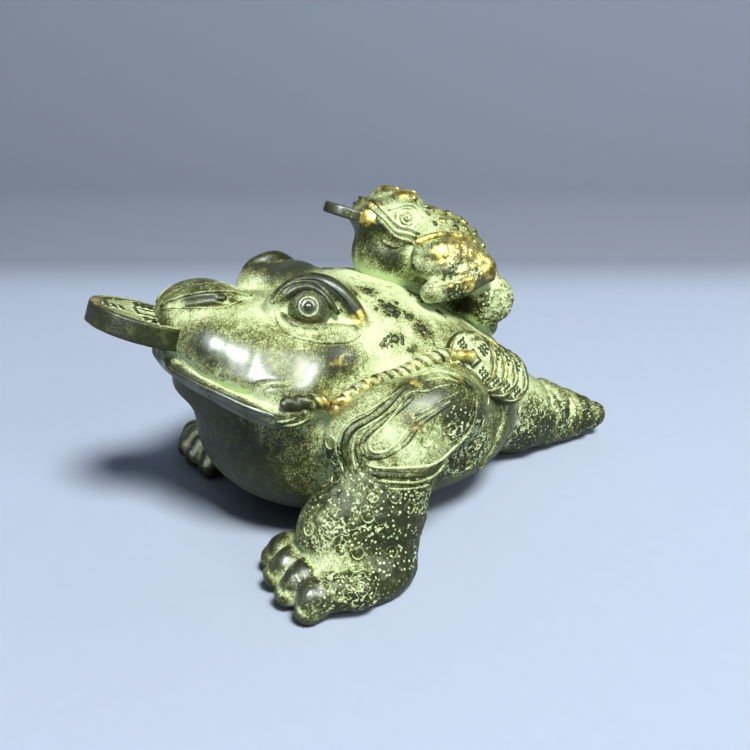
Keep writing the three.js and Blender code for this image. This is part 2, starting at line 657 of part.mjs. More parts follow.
for (const side of [1, -1]) {
  const mirror = (p) => [side * p[0], p[1], p[2]];

  // four coins fanned along the flank, each a little under the one before it
  const flankFacing = vector(mirror([0.86, 0.12, 0.5]));
  const fanUp = vector(mirror([-0.35, -0.45, 0.82]));
  for (let k = 0; k < 4; k++) {
    const centre = scaled(mirror([33.7 - 0.5 * k, 7.8 + 3.8 * k, 42.3 - 2 * k]));
    centre.addScaledVector(flankFacing, -0.4 * k);
    const coin = coinSolid(FLANK_COIN_DIAMETER, FLANK_COIN_THICKNESS, k ? 13 : 16, false);
    pieces.push(solid(placed(coin, centre, flankFacing, fanUp)));
    if (k === 0) {
      for (const mark of coinMarks(FLANK_COIN_DIAMETER, FLANK_COIN_THICKNESS / 2 - 0.6)) {
        pieces.push(solid(placed(mark, centre, flankFacing, fanUp)));
      }
    }
  }

  // the rope, from the corner of the mouth over the shoulder to the first coin
  const ropeLine = [
    [33, -38.5, 39.8], [35.5, -35, 39.3], [37, -31, 39.3], [37.5, -26, 40], [37.5, -20.4, 41.4],
    [36.5, -14.2, 43.2], [35.5, -7.9, 44.4], [34.5, -1.3, 45], [34, 4.3, 44.5],
  ].map((p) => settle(drawnAt(p, side), ROPE_DIAMETER * 0.22).point);
  const strand = (i) => (ROPE_DIAMETER / 2) * (i % 2 ? 1.12 : 0.86);
  pieces.push(bar(evenly(ropeLine, 1.4 * UNIT), strand, { sides: 6, lean: 0.75 * side }));

  // eyes
  const eye = drawnAt([19.5, -26.3, 55], side);
  const gaze = vector(mirror([0.87, -0.36, 0.32])).normalize();
  const eyeball = new THREE.SphereGeometry(EYE_DIAMETER / 2, 12, 8);
  pieces.push(solid(placed(eyeball, eye, gaze, new THREE.Vector3(0, 0, 1))));
  const pupil = eye.clone().addScaledVector(gaze, EYE_DIAMETER * 0.48);
  const iris = eye.clone().addScaledVector(gaze, EYE_DIAMETER * 0.44);
  const irisRing = new THREE.TorusGeometry(EYE_DIAMETER * 0.235, CARVED_LINE * 0.4, 5, 14);
  pieces.push(solid(placed(irisRing, iris, gaze, new THREE.Vector3(0, 0, 1))));
  const bead = new THREE.SphereGeometry(EYE_DIAMETER * 0.1, 8, 6);
  pieces.push(solid(bead.translate(...pupil.toArray())));

  const smallEye = scaled(mirror([9, 3.3, 72]));
  const smallBall = new THREE.SphereGeometry(SMALL_EYE_DIAMETER / 2, 8, 6);
  pieces.push(solid(smallBall.translate(...smallEye.toArray())));

  pieces.push(...ridges.map((line) => ridge(line, side, CARVED_LINE)));
  for (const [x, y, z, r] of warts) {
    const { point } = settle(drawnAt([x, y, z], side), -0.1 * r * UNIT);
    pieces.push(solid(new THREE.IcosahedronGeometry(r * UNIT, 0).translate(...point.toArray())));
  }

  // the small toad's rope and the coins at its end, which stand nearly edge on to the side
  const smallLine = [
    [12.8, 3.8, 66.8], [13.4, 7.4, 69], [13, 11.2, 69.5], [12, 16, 68.6], [10.8, 21.3, 66],
  ];
  const smallRope = evenly(smallLine.map((p) => settle(drawnAt(p, side)).point), 1.3 * UNIT);
  const smallStrand = (i) => (SMALL_ROPE_DIAMETER / 2) * (i % 2 ? 1.1 : 0.84);
  pieces.push(bar(smallRope, smallStrand, { sides: 5, lean: 0.75 * side }));
  for (let k = 0; k < 3; k++) {
    const spot = drawnAt([11.5, 21 + 2.2 * k, 62.5 - 1.5 * k], side);
    const { point } = settle(spot, -SMALL_ROPE_DIAMETER * 0.6);
    const r = SMALL_ROPE_DIAMETER * 1.9;
    const disc = new THREE.CylinderGeometry(r, r, 1.1 * UNIT, 10).rotateX(Math.PI / 2);
    pieces.push(solid(placed(disc, point, vector(mirror([0.4, 0.78, 0.48])), new THREE.Vector3(0, 0, 1))));
  }
}

// The small pieces are joined two by two before they meet the flesh.
let joined = pieces.slice(1);
while (joined.length > 1) {
  const half = Math.ceil(joined.length / 2);
  const others = joined.slice(half);
  joined = joined.slice(0, half).map((piece, i) => (others[i] ? piece.add(others[i]) : piece));
}
const ground = solid(box(0, 0, -20, 400, 400, 40).scale(UNIT, UNIT, 1));
const whole = pieces[0].add(joined[0]).subtract(ground);

// The outer shell of a joined mesh: a pocket that its pieces close off inside is filled in.
function outerShell({ vertProperties, triVerts }) {
  const parent = Array.from({ length: vertProperties.length / 3 }, (_, i) => i);
  const rootOf = (v) => {
    let root = v;
    while (parent[root] !== root) root = parent[root];
    return root;
  };
  const count = triVerts.length / 3;
  const faces = Array.from({ length: count }, (_, i) => [...triVerts.slice(3 * i, 3 * i + 3)]);
  for (const [a, b, c] of faces) {
    parent[rootOf(b)] = rootOf(a);
    parent[rootOf(c)] = rootOf(a);
  }
  const at = (v) => vector(vertProperties.slice(3 * v, 3 * v + 3));
  const volumes = new Map();
  for (const [a, b, c] of faces) {
    const root = rootOf(a);
    volumes.set(root, (volumes.get(root) ?? 0) + at(a).dot(at(b).cross(at(c))));
  }
  return faces.filter(([a]) => volumes.get(rootOf(a)) > 0);
}

// Where two stretches of the surface touch in a point, each is drawn back toward its own side.
function partTouching({ positions, triangles }) {
  const spots = Map.groupBy(positions.keys(), (v) => positions[v].map((x) => Math.round(x * 500)).join(' '));
  const touching = [...spots.values()].filter((group) => group.length > 1).flat();
  for (const v of touching) {
    const ring = triangles.filter((face) => face.includes(v)).flat().filter((u) => u !== v);
    const p = vector(positions[v]);
    const inward = new THREE.Vector3();
    for (const u of ring) inward.add(vector(positions[u]).sub(p));
    positions[v] = p.addScaledVector(inward.normalize(), 0.01).toArray();
  }
}

// The join leaves many sliver faces along its seams; the last simplifying takes those out.
const result = whole.getMesh();
const corners = Array.from(
  { length: result.vertProperties.length / 3 },
  (_, v) => [...result.vertProperties.slice(3 * v, 3 * v + 3)],
);
const skin = simplify({ positions: corners, triangles: outerShell(result) }, FIGURE_TRIANGLES);
partTouching(skin);
// the soles lie exactly on the ground
for (const p of skin.positions) if (Math.abs(p[2]) < 0.03) p[2] = 0;
const geometry = meshOf(skin.positions, skin.triangles);
geometry.computeBoundingBox();
const middle = geometry.boundingBox.getCenter(new THREE.Vector3());
geometry.translate(-middle.x, -middle.y, -geometry.boundingBox.min.z);

const bronze = new THREE.MeshStandardMaterial({ color: 0x6d7a4a, roughness: 0.5, metalness: 0.6 });
const toad = new THREE.Mesh(geometry, bronze);
toad.name = 'toad_figure';
const figure = new THREE.Group();
figure.name = 'money_toad';
figure.add(toad);

export default figure;
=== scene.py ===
"""A cast bronze money toad on a pale floor.

The flesh is drawn once as smooth forms, in millimetres, and meshed finely here. Carved lines,
ropes, rings, warts and coins are laid on it. Every piece replaces the one solid of the casting.
"""

import math

import bpy
import numpy as np
import openvdb
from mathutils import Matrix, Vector


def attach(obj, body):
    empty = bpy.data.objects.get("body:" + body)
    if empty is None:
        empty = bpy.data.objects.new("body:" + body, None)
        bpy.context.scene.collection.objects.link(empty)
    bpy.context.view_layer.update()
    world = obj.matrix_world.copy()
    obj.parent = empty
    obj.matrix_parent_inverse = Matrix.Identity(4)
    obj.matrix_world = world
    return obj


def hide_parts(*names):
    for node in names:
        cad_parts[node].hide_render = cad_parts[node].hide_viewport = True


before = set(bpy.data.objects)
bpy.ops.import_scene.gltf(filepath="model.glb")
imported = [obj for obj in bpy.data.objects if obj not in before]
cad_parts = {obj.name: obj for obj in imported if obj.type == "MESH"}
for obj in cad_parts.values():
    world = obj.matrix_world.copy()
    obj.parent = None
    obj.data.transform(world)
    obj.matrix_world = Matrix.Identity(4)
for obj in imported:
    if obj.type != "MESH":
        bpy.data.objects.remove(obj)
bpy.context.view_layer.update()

# Sizes in millimetres, on a figure 150 mm long.
MM = 0.001
MOUTH_COIN_DIAMETER = 26.8
MOUTH_COIN_THICKNESS = 5.2
SMALL_COIN_DIAMETER = 11.8
SMALL_COIN_THICKNESS = 2.8
FLANK_COIN_DIAMETER = 14
FLANK_COIN_THICKNESS = 2.4
ROPE_DIAMETER = 3.2
SMALL_ROPE_DIAMETER = 1.9
EYE_DIAMETER = 10.4
SMALL_EYE_DIAMETER = 3.6
FAR_LEG_INWARD = 17

# How far the head is turned and tilted, for each millimetre toward its far side.
HEAD_TURN = 0.1
HEAD_TILT = 0.045

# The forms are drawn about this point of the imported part's frame.
DRAWN_ORIGIN = np.array([-5.3, -1.71, 0])

# Cells of the grids, and triangles of the meshes thinned from them.
LARGE_CELL = 0.42
SMALL_CELL = 0.3
COIN_CELL = 0.22
LARGE_TRIANGLES = 198000
SMALL_TRIANGLES = 130000

# Shares of a coin's diameter: its rim, and the half width of a stroke.
COIN_RIM = 0.085
FLANK_COIN_RIM = 0.055
COIN_STROKE = 0.019

# The tilt of the coins in the mouths, in degrees, and the foremost point of each.
COIN_TILT = 20
MOUTH_COIN_FRONT = (0, -72.3, 55.4)
SMALL_COIN_FRONT = (0, -14.1, 75.1)

# Coins of the flank: the middle of the first, the step to the next and the way they face.
FLANK_MIDDLE = (33.7, 7.8, 42.3)
FLANK_STEP = (-0.5, 3.8, -2)
FLANK_FACING = (0.86, 0.12, 0.5)
FLANK_UP = (-0.35, -0.45, 0.82)

# Coins at the end of the small cord: the same.
STACK_MIDDLE = (11.5, 21, 62.5)
STACK_STEP = (0, 2.2, -1.5)
STACK_FACING = (0.4, 0.78, 0.48)

# Middles of the eyes and where they look, and the outer point of the small one.
EYE_MIDDLE = (19.5, -26.3, 55)
EYE_GAZE = (0.87, -0.36, 0.32)
SMALL_EYE_MIDDLE = (9, 3.3, 72)
SMALL_EYE_GAZE = (0.87, -0.25, 0.42)
SMALL_EYE_FRONT = (10.8, 2.9, 72.8)

# A cord's sides, and in diameters the spacing of its rings, the length of one turn and how far
# the middles of the two cords lie above the flesh.
CORD_SIDES = 36
CORD_STEP = 0.085
CORD_TURN = 1.6
ROPE_LIFT = 0.25
SMALL_ROPE_LIFT = 0.2

rng = np.random.default_rng(7)


# Signed distance forms, negative inside.


class Form:
    """A distance function, its place and reach, how wide it blends and the side it is on."""

    def __init__(self, at, centre, reach, blend, side=0, cut=False):
        self.at = at
        self.centre = np.array(centre, float)
        self.reach = reach
        self.blend = blend
        self.side = side
        self.cut = cut


def ellipsoid(centre, radii, blend, turn=0, power=2, side=0, cut=False):
    """An ellipsoid turned about X in degrees; a power above 2 makes it boxier."""
    c = np.array(centre, float)
    r = np.array(radii, float)
    cos, sin = math.cos(math.radians(turn)), math.sin(math.radians(turn))

    def at(p):
        q = p - c
        y = q[:, 1] * cos + q[:, 2] * sin
        z = q[:, 2] * cos - q[:, 1] * sin
        u = np.abs(np.stack([q[:, 0], y, z], 1) / r)
        if power == 2:
            k = np.sqrt((u * u).sum(1))
            return k * (k - 1) / np.maximum(np.sqrt(((u / r) ** 2).sum(1)), 1e-9)
        k = np.maximum((u**power).sum(1), 1e-12) ** (1 / power)
        return (k - 1) / np.sqrt((((u / k[:, None]) ** (power - 1) / r) ** 2).sum(1))

    return Form(at, c, max(radii) * (1.25 if power > 2 else 1), blend, side, cut)


def path(rows, steps=4):
    """A smooth path through rows of numbers."""
    a = np.array(rows, float)
    out = []
    for i in range(len(a) - 1):
        p0, p1, p2, p3 = a[max(i - 1, 0)], a[i], a[i + 1], a[min(i + 2, len(a) - 1)]
        for k in range(steps):
            t = k / steps
            linear = (p2 - p0) * t
            square = (2 * p0 - 5 * p1 + 4 * p2 - p3) * t * t
            out.append(0.5 * (2 * p1 + linear + square + (3 * p1 - p0 - 3 * p2 + p3) * t**3))
    out.append(a[-1])
    return np.array(out)


def limb(rows, blend, widen=1, side=0, cut=False):
    """A round limb through rows of x, y, z and radius; widen stretches it along X."""
    a = np.array(rows, float)
    centre = (a[:, :3].min(0) + a[:, :3].max(0)) / 2
    reach = max(np.linalg.norm(row[:3] - centre) + row[3] * widen for row in a)
    b = a.copy()
    b[:, 0] /= widen

    def at(p):
        q = p.copy()
        q[:, 0] /= widen
        best = np.full(len(q), np.inf)
        for start, end in zip(b[:-1], b[1:]):
            d = end[:3] - start[:3]
            t = np.clip((q - start[:3]) @ d / (d @ d), 0, 1)
            v = q - start[:3] - t[:, None] * d
            best = np.minimum(best, np.sqrt((v * v).sum(1)) - start[3] - t * (end[3] - start[3]))
        return best

    return Form(at, centre, reach, blend, side, cut)


def curved_limb(rows, blend, cut=False):
    """A round limb along a smooth path through rows of x, y, z and radius."""
    return limb(path(rows), blend, cut=cut)


def smooth(a, b, k):
    """The smaller of two distances, rounded off where they differ by less than k."""
    h = np.maximum(k - np.abs(a - b), 0) / k
    return np.minimum(a, b) - h * h * k / 4


def farness(p):
    """How far a point of the head lies on the far side; it fades out behind the eyes."""
    t = np.clip(-p[:, 1] / 25, 0, 1)
    return (p[:, 0] - np.hypot(p[:, 0], 6) + 6) * t * t * (3 - 2 * t)


def tilt_share(z):
    """The head's tilt at a height: none in the legs and belly, all of it in the upper head."""
    return HEAD_TILT * np.clip((z - 36) / 16, 0, 1)


def drawn_at(points, side):
    """Points drawn on the near side, mirrored to a side and moved with the head and the far leg."""
    p = np.array(points, float).reshape(-1, 3) * [side, 1, 1]
    on_far_leg = (p[:, 0] < -33) & (p[:, 1] < 0)
    p[:, 0] += FAR_LEG_INWARD * on_far_leg * np.clip((33 - p[:, 2]) / 16, 0, 1)
    far = farness(p)
    p[:, 1] -= HEAD_TURN * far
    p[:, 2] += tilt_share(p[:, 2]) * far
    return p


large_forms = [
    # body and back
    ellipsoid((0, -7.5, 24.3), (38.5, 41.9, 23.1), 6, power=2.4),
    ellipsoid((0, -24.4, 35.6), (25, 30.2, 10.4), 6),
    ellipsoid((0, -1.4, 36.6), (34, 26, 17.2), 8, turn=-16),
    ellipsoid((0, -12, 45), (26, 20, 12.8), 8),
    # tail leg, with the bumps and toes of its foot
    limb([
        (0, 24, 22, 17.2), (0, 42, 12.4, 12.6), (0, 52, 9.5, 9.8), (0, 60, 7.6, 7.9),
        (0, 67, 6.1, 6.3), (0, 71.6, 5.6, 4.9),
    ], 6, widen=1.15),
    ellipsoid((0, 59.8, 14.1), (4.6, 3.8, 2.4), 1),
    ellipsoid((0, 65.6, 11.6), (4.4, 3.2, 2.4), 1),
    ellipsoid((6, 66.5, 7.4), (3, 3.8, 3), 1),
    ellipsoid((2.6, 73, 6.2), (3.2, 3.5, 2.9), 1),
    # lower jaw and lip
    ellipsoid((0, -30.5, 39.5), (34, 26.5, 8), 5, turn=-12),
    curved_limb([
        (0, -56.6, 43.6, 2.2), (7, -55.3, 42.2, 2.2), (14, -52.6, 40.6, 2.2),
        (20.3, -49.6, 39.4, 2.2), (26.3, -46.2, 37.8, 2.2), (31.2, -42.4, 36.4, 2.2),
        (34.3, -38.2, 35.6, 2.2), (35.5, -34, 36.5, 2),
    ], 2),
    ellipsoid((30, -35, 40), (5.5, 8, 5), 3),
    # upper jaw and cheek
    ellipsoid((0, -32, 47), (26, 25, 8), 4, turn=-12),
    curved_limb([
        (0, -54.5, 48, 4), (10, -50.5, 47.5, 5), (17, -45.5, 46, 6),
        (22.5, -38, 44, 7.5), (24, -28, 43, 8), (23, -18, 43, 7.5),
    ], 3),
    ellipsoid((4, -47, 52.6), (7.5, 10, 7), 2.5),
    # brow and lids
    ellipsoid((13, -21, 51.8), (9.5, 11, 8.8), 2),
    ellipsoid((14.8, -28.4, 54.6), (5.4, 7, 5.6), 2),
    curved_limb([
        (16.5, -34, 55.8, 1.6), (18, -31.5, 58.8, 1.9), (18.5, -28, 60.6, 2.1),
        (19.5, -24, 60.6, 2.3), (20.5, -20, 58.5, 2.3), (22, -16.8, 54.6, 2.2),
        (23.5, -14.6, 50.8, 1.5),
    ], 1.5),
    curved_limb([
        (18, -34.5, 53, 1.2), (21.5, -33, 50.8, 1.8), (24.5, -29, 49.4, 2),
        (26, -24, 49.2, 2), (25.5, -18.5, 50, 1.6),
    ], 1.5),
    # shoulder
    ellipsoid((42, -13, 33), (8.5, 19.5, 10.5), 3, turn=6),
    ellipsoid((33, -2, 33), (10, 14, 10), 4),
]


def foreleg(side, inward):
    """A foreleg; inward moves its foot toward the middle."""
    toes = [
        (37, -39, 5.8, 35.2, -42.6, 3.6), (43.2, -40.3, 6.4, 42.6, -44.6, 4.2),
        (50, -40.3, 6.6, 50, -44.7, 4), (56, -38.5, 5.6, 56.5, -42.9, 3.2),
    ]
    forms = [
        ellipsoid((43.5 - 0.4 * inward, -17.5, 27), (9, 12, 11), 3, side=side),
        ellipsoid((46 - 0.8 * inward, -24.4, 15), (9.2, 13.3, 12.3), 4, side=side),
        ellipsoid((45 - 0.9 * inward, -31.5, 12.5), (8, 9, 8), 4, side=side),
        ellipsoid((48 - inward, -28.8, 4.5), (11.6, 14, 7.2), 4, side=side),
    ]
    for x, y, z, tip_x, tip_y, tip_z in toes:
        rows = [
            (x + 1.5 - inward, y + 6, z - 0.2, 4.2), (x - inward, y, z, 4),
            (tip_x - inward, tip_y, tip_z, 3.1),
        ]
        forms.append(limb(rows, 1.2, side=side))
    return forms


large_forms += foreleg(1, 0) + foreleg(-1, FAR_LEG_INWARD)

small_forms = [
    # body, chest, head, rump, snout and brows
    ellipsoid((0, 13.4, 61), (13, 17.6, 12.2), 3, turn=-12),
    ellipsoid((0, 3.4, 62), (11, 9.7, 10), 1.5),
    ellipsoid((0, 4, 69.9), (11, 10.5, 6.3), 2.5, turn=-12),
    ellipsoid((0, 25.6, 51), (11, 10, 12), 3),
    ellipsoid((3, -2.3, 71.8), (3, 4, 3), 1.5),
    ellipsoid((4.5, 5, 74.5), (4, 5.2, 3.8), 1.5),
    # arms, haunches and tail foot
    ellipsoid((13.5, 13, 62), (4.5, 10.5, 5.5), 1, turn=-10),
    limb([(14.5, 22, 59, 4), (16.5, 15, 57, 4), (18, 9, 56, 3.2), (19, 5, 55.5, 2.6)], 1),
    ellipsoid((10, 27, 49.5), (6, 7.5, 7), 1.5),
    limb([(14.5, 3.6, 61.5, 1.6), (16.5, 6.5, 60, 2.2), (17.2, 10, 60, 2.6)], 1),
    limb([(0, 31, 45, 6), (0, 33, 39.5, 4)], 2),
]


def field(points, forms):
    """The signed distance of points to the joined forms."""
    straight = np.array(points, float)
    far = farness(straight)
    turned = straight.copy()
    turned[:, 1] += HEAD_TURN * far
    turned[:, 2] -= tilt_share(straight[:, 2]) * far
    right = straight[:, 0] < 0
    straight[:, 0] = np.abs(straight[:, 0])
    turned[:, 0] = straight[:, 0]
    middle = straight.mean(0)
    spread = np.sqrt(((straight - middle) ** 2).sum(1).max()) + 4
    d = np.full(len(straight), 1e3)
    closest = np.inf
    # A form is worked out only at the points that it can reach.
    for form in forms:
        away = np.linalg.norm(middle - form.centre) - form.reach - spread
        if away > closest + form.blend + 2 * spread:
            continue
        p = straight if form.side else turned
        near = np.sqrt(((p - form.centre) ** 2).sum(1)) - form.reach
        chosen = near < (4 if form.cut else d + form.blend)
        if form.side:
            chosen &= right if form.side < 0 else ~right
        chosen = np.nonzero(chosen)[0]
        if not len(chosen):
            continue
        value = form.at(p[chosen])
        if form.cut:
            d[chosen] = -smooth(-d[chosen], value, form.blend)
        else:
            d[chosen] = smooth(d[chosen], value, form.blend)
        closest = min(closest, max(away + spread, 0))
    return d


def large(points):
    """The distance to the large toad's flesh."""
    return field(points, large_forms)


def small(points):
    """The distance to the small toad's flesh."""
    return field(points, small_forms)


def figure(points):
    """The distance to the flesh of both."""
    return np.minimum(large(points), small(points))


def mesh_of(distance, low, high, cell, block=8):
    """Vertices and faces of the zero surface of a distance function, from a grid filled near it."""
    low = np.array(low, float)
    count = np.ceil((np.array(high, float) - low) / cell / block).astype(int)
    blocks = np.stack(np.meshgrid(*[np.arange(n) for n in count], indexing="ij"), -1).reshape(-1, 3)
    middles = low + (blocks * block + (block - 1) / 2) * cell
    parts = np.array_split(middles, max(1, len(middles) // 20000))
    d = np.concatenate([distance(part) for part in parts])
    wide = 3 * cell
    grid = np.full(tuple(count * block), wide, np.float32)
    for i, j, k in blocks[d < 0] * block:
        grid[i : i + block, j : j + block, k : k + block] = -wide
    near = blocks[np.abs(d) < block * cell * 1.2]
    # The blocks are filled in batches of neighbours, which few forms reach.
    near = near[np.lexsort((near[:, 2] // 6, near[:, 1] // 6, near[:, 0] // 6))]
    offsets = np.stack(np.meshgrid(*[np.arange(block)] * 3, indexing="ij"), -1).reshape(-1, 3)
    for part in np.array_split(near, max(1, len(near) // 100)):
        cells = (part[:, None, :] * block + offsets[None]).reshape(-1, 3)
        grid[cells[:, 0], cells[:, 1], cells[:, 2]] = distance(low + cells * cell)
    volume = openvdb.FloatGrid(background=wide)
    volume.copyFromArray(np.ascontiguousarray(grid))
    points, _, quads = volume.convertToPolygons(isovalue=0.0, adaptivity=0.0)
    return np.array(points) * cell + low, np.array(quads)


def added(name, data):
    """A new object of the scene."""
    obj = bpy.data.objects.new(name, data)
    bpy.context.scene.collection.objects.link(obj)
    return obj


def added_mesh(name, vertices, faces):
    """A smooth mesh object from vertices in metres."""
    mesh = bpy.data.meshes.new(name)
    mesh.from_pydata(vertices, [], faces)
    mesh.polygons.foreach_set("use_smooth", [True] * len(mesh.polygons))
    return added(name, mesh)


def made(name, points, faces):
    """A mesh object from points in the drawn frame, in millimetres."""
    return added_mesh(name, ((points + DRAWN_ORIGIN) * MM).tolist(), faces.tolist())


def vectors(collection, name):
    """A vector of each item, as rows."""
    values = np.empty(len(collection) * 3, np.float32)
    collection.foreach_get(name, values)
    return values.reshape(-1, 3).astype(float)


def points_of(obj):
    """The vertices in the drawn frame, in millimetres."""
    return vectors(obj.data.vertices, "co") / MM - DRAWN_ORIGIN


def normals_of(obj):
    """The vertex normals."""
    return vectors(obj.data.vertex_normals, "vector")


def move_points(obj, points):
    """Puts the vertices at points in the drawn frame."""
    obj.data.vertices.foreach_set("co", ((points + DRAWN_ORIGIN) * MM).astype(np.float32).ravel())
    obj.data.update()


def thinned(obj, triangles):
    """The object with its mesh collapsed to about that many triangles."""
    count = sum(len(p.vertices) - 2 for p in obj.data.polygons)
    modifier = obj.modifiers.new("thin", "DECIMATE")
    modifier.ratio = min(1, triangles / count)
    depsgraph = bpy.context.evaluated_depsgraph_get()
    mesh = bpy.data.meshes.new_from_object(obj.evaluated_get(depsgraph))
    obj.modifiers.clear()
    obj.data = mesh
    return obj


def slope(points, distance=figure, h=0.25):
    """The distance at points and its unit gradient."""
    steps = np.concatenate([np.zeros((1, 3)), np.eye(3) * h, -np.eye(3) * h])
    d = distance((points[None] + steps[:, None]).reshape(-1, 3)).reshape(7, -1)
    g = (d[1:4] - d[4:7]).T
    return d[0], g / np.maximum(np.linalg.norm(g, axis=1, keepdims=True), 1e-9)


def settle(points, lift=0.0, distance=figure):
    """The nearest points of the flesh, raised along the normals, and those normals."""
    stride = 0.85
    p = np.array(points, float).reshape(-1, 3)
    for _ in range(4):
        d, n = slope(p, distance)
        p = p - n * d[:, None] * stride
    n = slope(p, distance)[1]
    return p + n * lift, n


def in_groups(distance, points, size=9):
    """The distance at many points, worked out for one neighbourhood after another."""
    key = np.floor(points / size).astype(int)
    order = np.lexsort((key[:, 2], key[:, 1], key[:, 0]))
    cuts = np.nonzero(np.any(np.diff(key[order], axis=0) != 0, axis=1))[0] + 1
    out = np.empty(len(points))
    for group in np.split(order, cuts):
        out[group] = distance(points[group])
    return out


def evenly(points, spacing):
    """Points at even spacing along a smooth path through points."""
    fine = path(points, 12)
    length = np.concatenate([[0], np.cumsum(np.linalg.norm(np.diff(fine, axis=0), axis=1))])
    at = np.linspace(0, length[-1], max(2, round(length[-1] / spacing) + 1))
    return np.stack([np.interp(at, length, fine[:, i]) for i in range(3)], 1)


def bar(points, ups, section, sides):
    """A closed tube; section(i, angles) gives the radii of ring i."""
    along = np.gradient(points, axis=0)
    along /= np.linalg.norm(along, axis=1, keepdims=True)
    out = ups - (ups * along).sum(1, keepdims=True) * along
    out /= np.linalg.norm(out, axis=1, keepdims=True)
    across = np.cross(along, out)
    angles = np.arange(sides) * 2 * math.pi / sides
    rings = [
        points[i] + section(i, angles)[:, None] * (
            np.cos(angles)[:, None] * across[i] + np.sin(angles)[:, None] * out[i]
        )
        for i in range(len(points))
    ]
    vertices = np.concatenate(rings)
    k = np.arange(sides)
    after = (k + 1) % sides
    quads = [
        np.stack([i * sides + k, (i + 1) * sides + k, (i + 1) * sides + after, i * sides + after], 1)
        for i in range(len(points) - 1)
    ]
    return vertices, [list(q) for q in np.concatenate(quads)] + [
        list(k), list((len(points) - 1) * sides + k[::-1])
    ]


def joined(parts):
    """Several (vertices, faces) as one."""
    vertices, faces, base = [], [], 0
    for v, f in parts:
        vertices.append(v)
        faces += [[base + int(i) for i in face] for face in f]
        base += len(v)
    return np.concatenate(vertices), faces


def made_of(name, parts):
    """One mesh object from several (vertices, faces)."""
    vertices, faces = joined(parts)
    return made(name, vertices, np.array(faces, dtype=object))


# Carved lines, drawn on the near side: a path and a radius.
grooves = [
    # between the upper and the lower jaw
    ([(0, -56.5, 48.5), (6, -54.8, 47.2), (10, -53, 46), (16, -50.6, 44), (22, -47, 42),
      (26, -43.8, 41.2), (30, -40.5, 41.4), (32.5, -36.5, 42)], 0.9),
    # nostril
    ([(6.6, -55, 56), (9, -52.1, 56.8), (9.9, -47.8, 57.1), (9.6, -43.3, 56.9),
      (7.4, -38.4, 56.4), (3.4, -34.6, 55.6)], 1.5),
    # creases across the toes
    ([(35.5, -38.5, 8.6), (38.9, -38.6, 9.8), (44.8, -39.2, 10.6), (50.7, -39.4, 10.8),
      (55, -39.2, 9.6), (58.8, -38.4, 8.2), (60.4, -37, 6)], 0.75),
    ([(46.3, -42, 8.6), (46.8, -44.6, 6.4), (46.6, -46.4, 4)], 0.6),
    # between the knuckles and the nails
    ([(51.8, -45, 5), (53.8, -46, 6.2), (57, -45.6, 5.4), (59.6, -43.6, 3.6)], 0.5),
    ([(46.8, -46, 5.2), (49, -47.2, 6.6), (52, -46.6, 5.4)], 0.5),
    ([(39.4, -45.6, 5), (42, -46.8, 6.6), (45.4, -46.2, 5.2)], 0.5),
    # round the toes of the tail leg
    ([(-5, 54, 18.5), (2, 54.6, 19.4), (6.4, 53.3, 18.9), (9.9, 52.4, 16.4), (11, 53, 12.6),
      (11.2, 53, 8.6)], 1),
    ([(-4, 62, 15), (1, 62, 15.8), (5.1, 61.2, 15.3), (7.4, 61.2, 13), (9.1, 59.8, 10.2),
      (9, 59, 6.2)], 1.4),
    ([(-2, 71, 11), (1.5, 71.4, 11.4), (3.7, 71.1, 10.9), (5.6, 71, 8.8), (6.4, 70.4, 6.4)], 1),
    # between the flank and the tail leg
    ([(27, 24, 33), (30, 20.4, 27.9), (32, 17, 22.3), (31.5, 13, 16)], 0.9),
]

# Raised bands, dark on top: a path, half a width and a height.
bands = [
    # scroll down to the front of the leg
    ([(43.8, -11.6, 43.4), (44.8, -15.6, 42.3), (46.4, -19.2, 40.6), (47.2, -23.4, 38.3),
      (46.5, -27.6, 36.4), (46.4, -29.4, 33.8), (46.8, -29.8, 30.3), (48.2, -29, 26.9)], 1, 0.45),
    # middle of the scroll
    ([(47.9, -27.6, 34), (48.2, -27.8, 32.6), (48.8, -27.5, 30.4), (49.3, -27.4, 28.1)], 0.9, 0.4),
    # loop
    ([(46.8, -13.4, 41.6), (48.3, -17.6, 39.6), (48.7, -21.6, 37.7), (48.6, -25.4, 35.2),
      (48.8, -27, 32.6), (49.9, -26, 30.7), (51.3, -22.6, 30.9), (51.5, -18, 33.2),
      (50.6, -15, 35.6), (49.6, -10.8, 37.4), (48.1, -5.4, 39.2)], 0.7, 0.35),
    # under the loop
    ([(50.2, -26, 27.2), (51.9, -23, 26.9), (52.6, -18.6, 26.2), (51.7, -12.8, 25.2),
      (50, -7, 26)], 0.85, 0.4),
    # edge of the lower lip
    ([(9.4, -57.4, 43.5), (14.2, -55.4, 42.4), (18.8, -53.3, 41.7), (23.3, -50.9, 40.8),
      (27.2, -48.4, 39.9), (30.7, -45.9, 38.9), (33.7, -43.2, 38), (35.6, -40.4, 37)], 0.8, 0.7),
]

